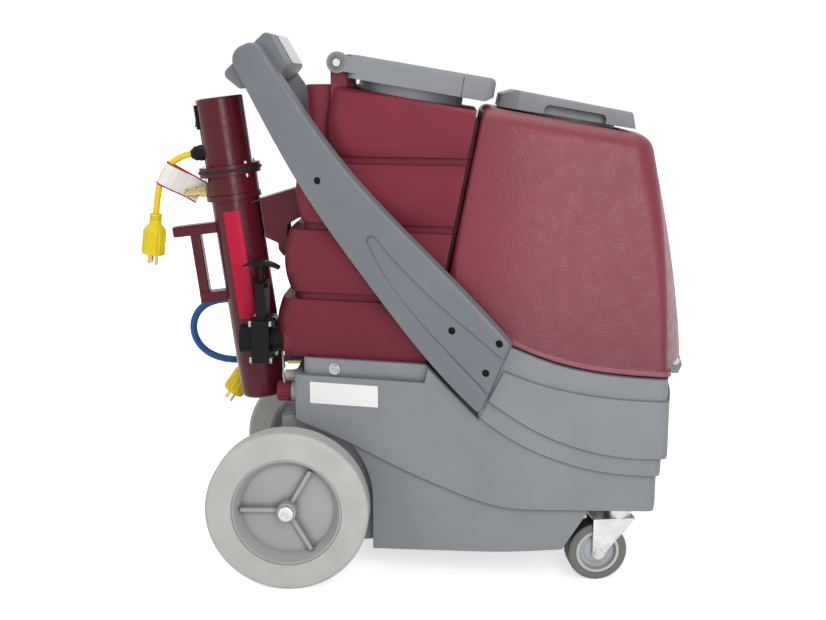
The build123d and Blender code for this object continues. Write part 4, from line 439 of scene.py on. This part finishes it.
def sheet_piece(name, rows, thickness, look, place=Matrix()):
    """Thin sheet through rows of points in metres, in a frame of its own."""
    mesh = bpy.data.meshes.new(name)
    sheet = bmesh.new()
    grid = [[sheet.verts.new(point) for point in row] for row in rows]
    for first, second in zip(grid, grid[1:]):
        for index in range(len(first) - 1):
            sheet.faces.new((first[index], first[index + 1], second[index + 1], second[index]))
    bmesh.ops.remove_doubles(sheet, verts=sheet.verts, dist=1e-6)
    bmesh.ops.recalc_face_normals(sheet, faces=sheet.faces)
    bmesh.ops.solidify(sheet, geom=sheet.faces[:], thickness=thickness)
    sheet.to_mesh(mesh)
    sheet.free()
    piece = bpy.data.objects.new(name, mesh)
    piece.matrix_world = place
    bpy.context.scene.collection.objects.link(piece)
    mesh.materials.append(DETAIL_LOOKS[look].material)
    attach(piece, "base")


def side_plate():
    """White plate on the tapered right side of the base."""
    slope = radians(12.0)
    along = Vector((cos(slope), -sin(slope), 0))
    out = Vector((-sin(slope), -cos(slope), 0))
    place = Matrix((along, (0, 0, 1), out)).transposed().to_4x4()
    place.translation = at(84.5, -145.7, 297) + out * 0.0002
    half_x, half_z = 0.0555, 0.0172
    rows = [[(x, z, 0) for x in (-half_x, half_x)] for z in (-half_z, half_z)]
    sheet_piece("side_plate", rows, -0.0006, "white_card", place)


def heater_frame():
    """Frame on the heater's axis: local Z up the axis, local X to the machine."""
    tip = sin(HEATER_LEAN)
    rise = cos(HEATER_LEAN)
    place = Matrix(((rise, 0, tip), (0, 1, 0), (-tip, 0, rise))).transposed().to_4x4()
    place.translation = at(-64, 0, 258)
    return place


def heater_wrap(name, heights, start, sweep, steps, look):
    """Film round a part of the heater, between two heights on its axis; turns are in degrees."""
    turns = [radians(start + sweep * step / steps) for step in range(steps + 1)]
    rows = [[(HEATER_SKIN * cos(turn), HEATER_SKIN * sin(turn), z) for turn in turns] for z in heights]
    sheet_piece(name, rows, -FILM, look, heater_frame())


def head_shade_sheet():
    """Black sheet round the back of the heater's head, between flange and switch: painted shade on that
    side.
    """
    # Painted shade: a black sheet where the head's back side falls into shade.
    heater_wrap("head_shade_sheet", (0.391, 0.452), -190, 36, 9, "black_shade_card")


def heater_strip():
    """Red strip around the near side of the heater's tube."""
    heater_wrap("heater_strip", (0.138, 0.3165), -114, 78, 18, "red_strip")


def pipe_stub():
    """Open pipe end on the base's back above the drain, with a strap down to the drain's cap."""
    radius, turns = 0.0075, [2 * pi * step / 24 for step in range(25)]
    middle = at(0, -75, 311)
    rows = [[(at(x, 0, 0).x, middle.y + radius * sin(turn), middle.z + radius * cos(turn)) for turn in turns]
            for x in (-17, 4.4)]
    sheet_piece("pipe_stub", rows, 0.002, "pipe_gray")
    strap = [[tuple(at(x, -77, z)) for x in (back - 1.5, back + 1.5)]
             for back, z in ((-21, 352.6), (-20, 322), (-20.5, 308), (-19, 297))]
    sheet_piece("cap_strap", strap, 0.001, "pipe_gray")


def console_plate():
    """Light plate on the front of the console."""
    top, low = at(-26.5, 0, 848.5), at(-2.5, 0, 806)
    out = Vector((low.z - top.z, 0, top.x - low.x)).normalized() * -0.0004
    rows = [[(corner.x + out.x, y, corner.z + out.z) for y in (-0.02, 0.092)] for corner in (top, low)]
    sheet_piece("console_plate", rows, 0.0004, "light_card")


def cord_tag():
    """Tag folded round the heater's cord, its tail behind the coupler."""
    along, across = Vector((0.8646, 0, -0.5025)), Vector((-0.5025, 0, -0.8646))
    depth = along.cross(across)
    place = Matrix((along, across, depth)).transposed().to_4x4()
    place.translation = at(-210.8, 0, 647.6) + across * TAG_HALF
    bend = 7.6
    turns = [radians(90 - 180 * step / 12) for step in range(13)]
    fold = [(2.5 - bend * cos(turn), bend * sin(turn)) for turn in turns]
    front = [(10, -7.0), (20, -3.5), (30, 3.0), (38, 8.6), (46, 11.0), (66, 12.4)]
    line = [(66, 13.4)] + fold + front
    rows = [[(x * MM, b, depth.y * y * MM) for x, y in line] for b in (-TAG_HALF, TAG_HALF)]
    sheet_piece("cord_tag", rows, FILM, "cord_tag", place)


# Stage, light and camera

FLOOR_HALF = 12.0
IMAGE_WIDTH = 826
FOCAL_PIXELS = 1150


def lit_by_rays(tree):
    """1 for rays that show the background: from the camera, and through glossy and clear surfaces."""
    path = tree.nodes.new("ShaderNodeLightPath")
    total = path.outputs["Is Camera Ray"]
    for ray in ("Is Glossy Ray", "Is Transmission Ray"):
        either = tree.nodes.new("ShaderNodeMath")
        either.operation = "MAXIMUM"
        tree.links.new(total, either.inputs[0])
        tree.links.new(path.outputs[ray], either.inputs[1])
        total = either.outputs["Value"]
    return total


def floor_white():
    """White floor that fades into the background and still takes the object's shadow."""
    material = bpy.data.materials.new("floor_white")
    material.use_nodes = True
    tree = material.node_tree
    tree.nodes.clear()
    diffuse = tree.nodes.new("ShaderNodeBsdfDiffuse")
    diffuse.inputs["Color"].default_value = (0.8, 0.8, 0.8, 1)
    coords = tree.nodes.new("ShaderNodeTexCoord")
    reach = tree.nodes.new("ShaderNodeVectorMath")
    reach.operation = "LENGTH"
    tree.links.new(coords.outputs["Object"], reach.inputs[0])
    fade = tree.nodes.new("ShaderNodeMapRange")
    for socket, value in (("From Min", 0.7), ("From Max", 2.4), ("To Min", 0.62), ("To Max", 1.0)):
        fade.inputs[socket].default_value = value
    tree.links.new(reach.outputs["Value"], fade.inputs["Value"])
    power = tree.nodes.new("ShaderNodeMath")
    power.operation = "MULTIPLY"
    tree.links.new(fade.outputs["Result"], power.inputs[0])
    tree.links.new(lit_by_rays(tree), power.inputs[1])
    glow = tree.nodes.new("ShaderNodeEmission")
    tree.links.new(power.outputs["Value"], glow.inputs["Strength"])
    output = tree.nodes.new("ShaderNodeOutputMaterial")
    total = tree.nodes.new("ShaderNodeAddShader")
    tree.links.new(diffuse.outputs["BSDF"], total.inputs[0])
    tree.links.new(glow.outputs["Emission"], total.inputs[1])
    tree.links.new(total.outputs["Shader"], output.inputs["Surface"])
    return material


def add_floor():
    mesh = bpy.data.meshes.new("floor")
    corners = [(x * FLOOR_HALF, y * FLOOR_HALF, 0) for x, y in ((-1, -1), (1, -1), (1, 1), (-1, 1))]
    mesh.from_pydata(corners, [], [(0, 1, 2, 3)])
    floor = bpy.data.objects.new("floor", mesh)
    bpy.context.scene.collection.objects.link(floor)
    mesh.materials.append(floor_white())


def add_world():
    """Soft light from all round, and white where the background shows."""
    world = bpy.data.worlds.new("studio")
    bpy.context.scene.world = world
    world.use_nodes = True
    tree = world.node_tree
    tree.nodes.clear()
    mix = tree.nodes.new("ShaderNodeMixShader")
    tree.links.new(lit_by_rays(tree), mix.inputs["Fac"])
    for socket, strength in ((1, 0.37), (2, 1.0)):
        light = tree.nodes.new("ShaderNodeBackground")
        light.inputs["Color"].default_value = (1, 1, 1, 1)
        light.inputs["Strength"].default_value = strength
        tree.links.new(light.outputs["Background"], mix.inputs[socket])
    output = tree.nodes.new("ShaderNodeOutputWorld")
    tree.links.new(mix.outputs["Shader"], output.inputs["Surface"])


def area_light(name, place, target, size, power):
    data = bpy.data.lights.new(name, "AREA")
    data.shape = "RECTANGLE"
    data.size, data.size_y = size
    data.energy = power
    lamp = bpy.data.objects.new(name, data)
    bpy.context.scene.collection.objects.link(lamp)
    lamp.location = place
    lamp.rotation_euler = (Vector(target) - Vector(place)).to_track_quat("-Z", "Y").to_euler()


def add_lights():
    area_light("key_right", (0.9, -2.6, 1.9), (0.1, 0, 0.45), (1.6, 1.4), 37)
    area_light("front_right", (0.55, -2.7, 0.7), (0.2, 0, 0.5), (0.9, 0.8), 18)
    area_light("fill_left", (-2.4, -1.2, 1.5), (-0.1, 0, 0.45), (1.6, 1.4), 12)
    area_light("top", (0.0, 0.2, 2.8), (0, 0, 0.4), (2.4, 2.0), 27)
    area_light("back_left", (-1.8, 1.5, 1.5), (-0.1, 0, 0.6), (1.4, 1.2), 10)


def add_camera():
    data = bpy.data.cameras.new("camera")
    data.sensor_width = 36.0
    data.lens = data.sensor_width * FOCAL_PIXELS / IMAGE_WIDTH
    camera = bpy.data.objects.new("camera", data)
    bpy.context.scene.collection.objects.link(camera)
    camera.location = at(255.05, -1880.74, 783.12)
    camera.rotation_euler = (radians(90 - 11.4057), 0, radians(2.0503))
    bpy.context.scene.camera = camera


dress_nodes()
add_cords()
side_plate()
console_plate()
head_shade_sheet()
heater_strip()
pipe_stub()
cord_tag()
add_floor()
add_world()
add_lights()
add_camera()
bpy.context.scene.view_settings.view_transform = "Standard"
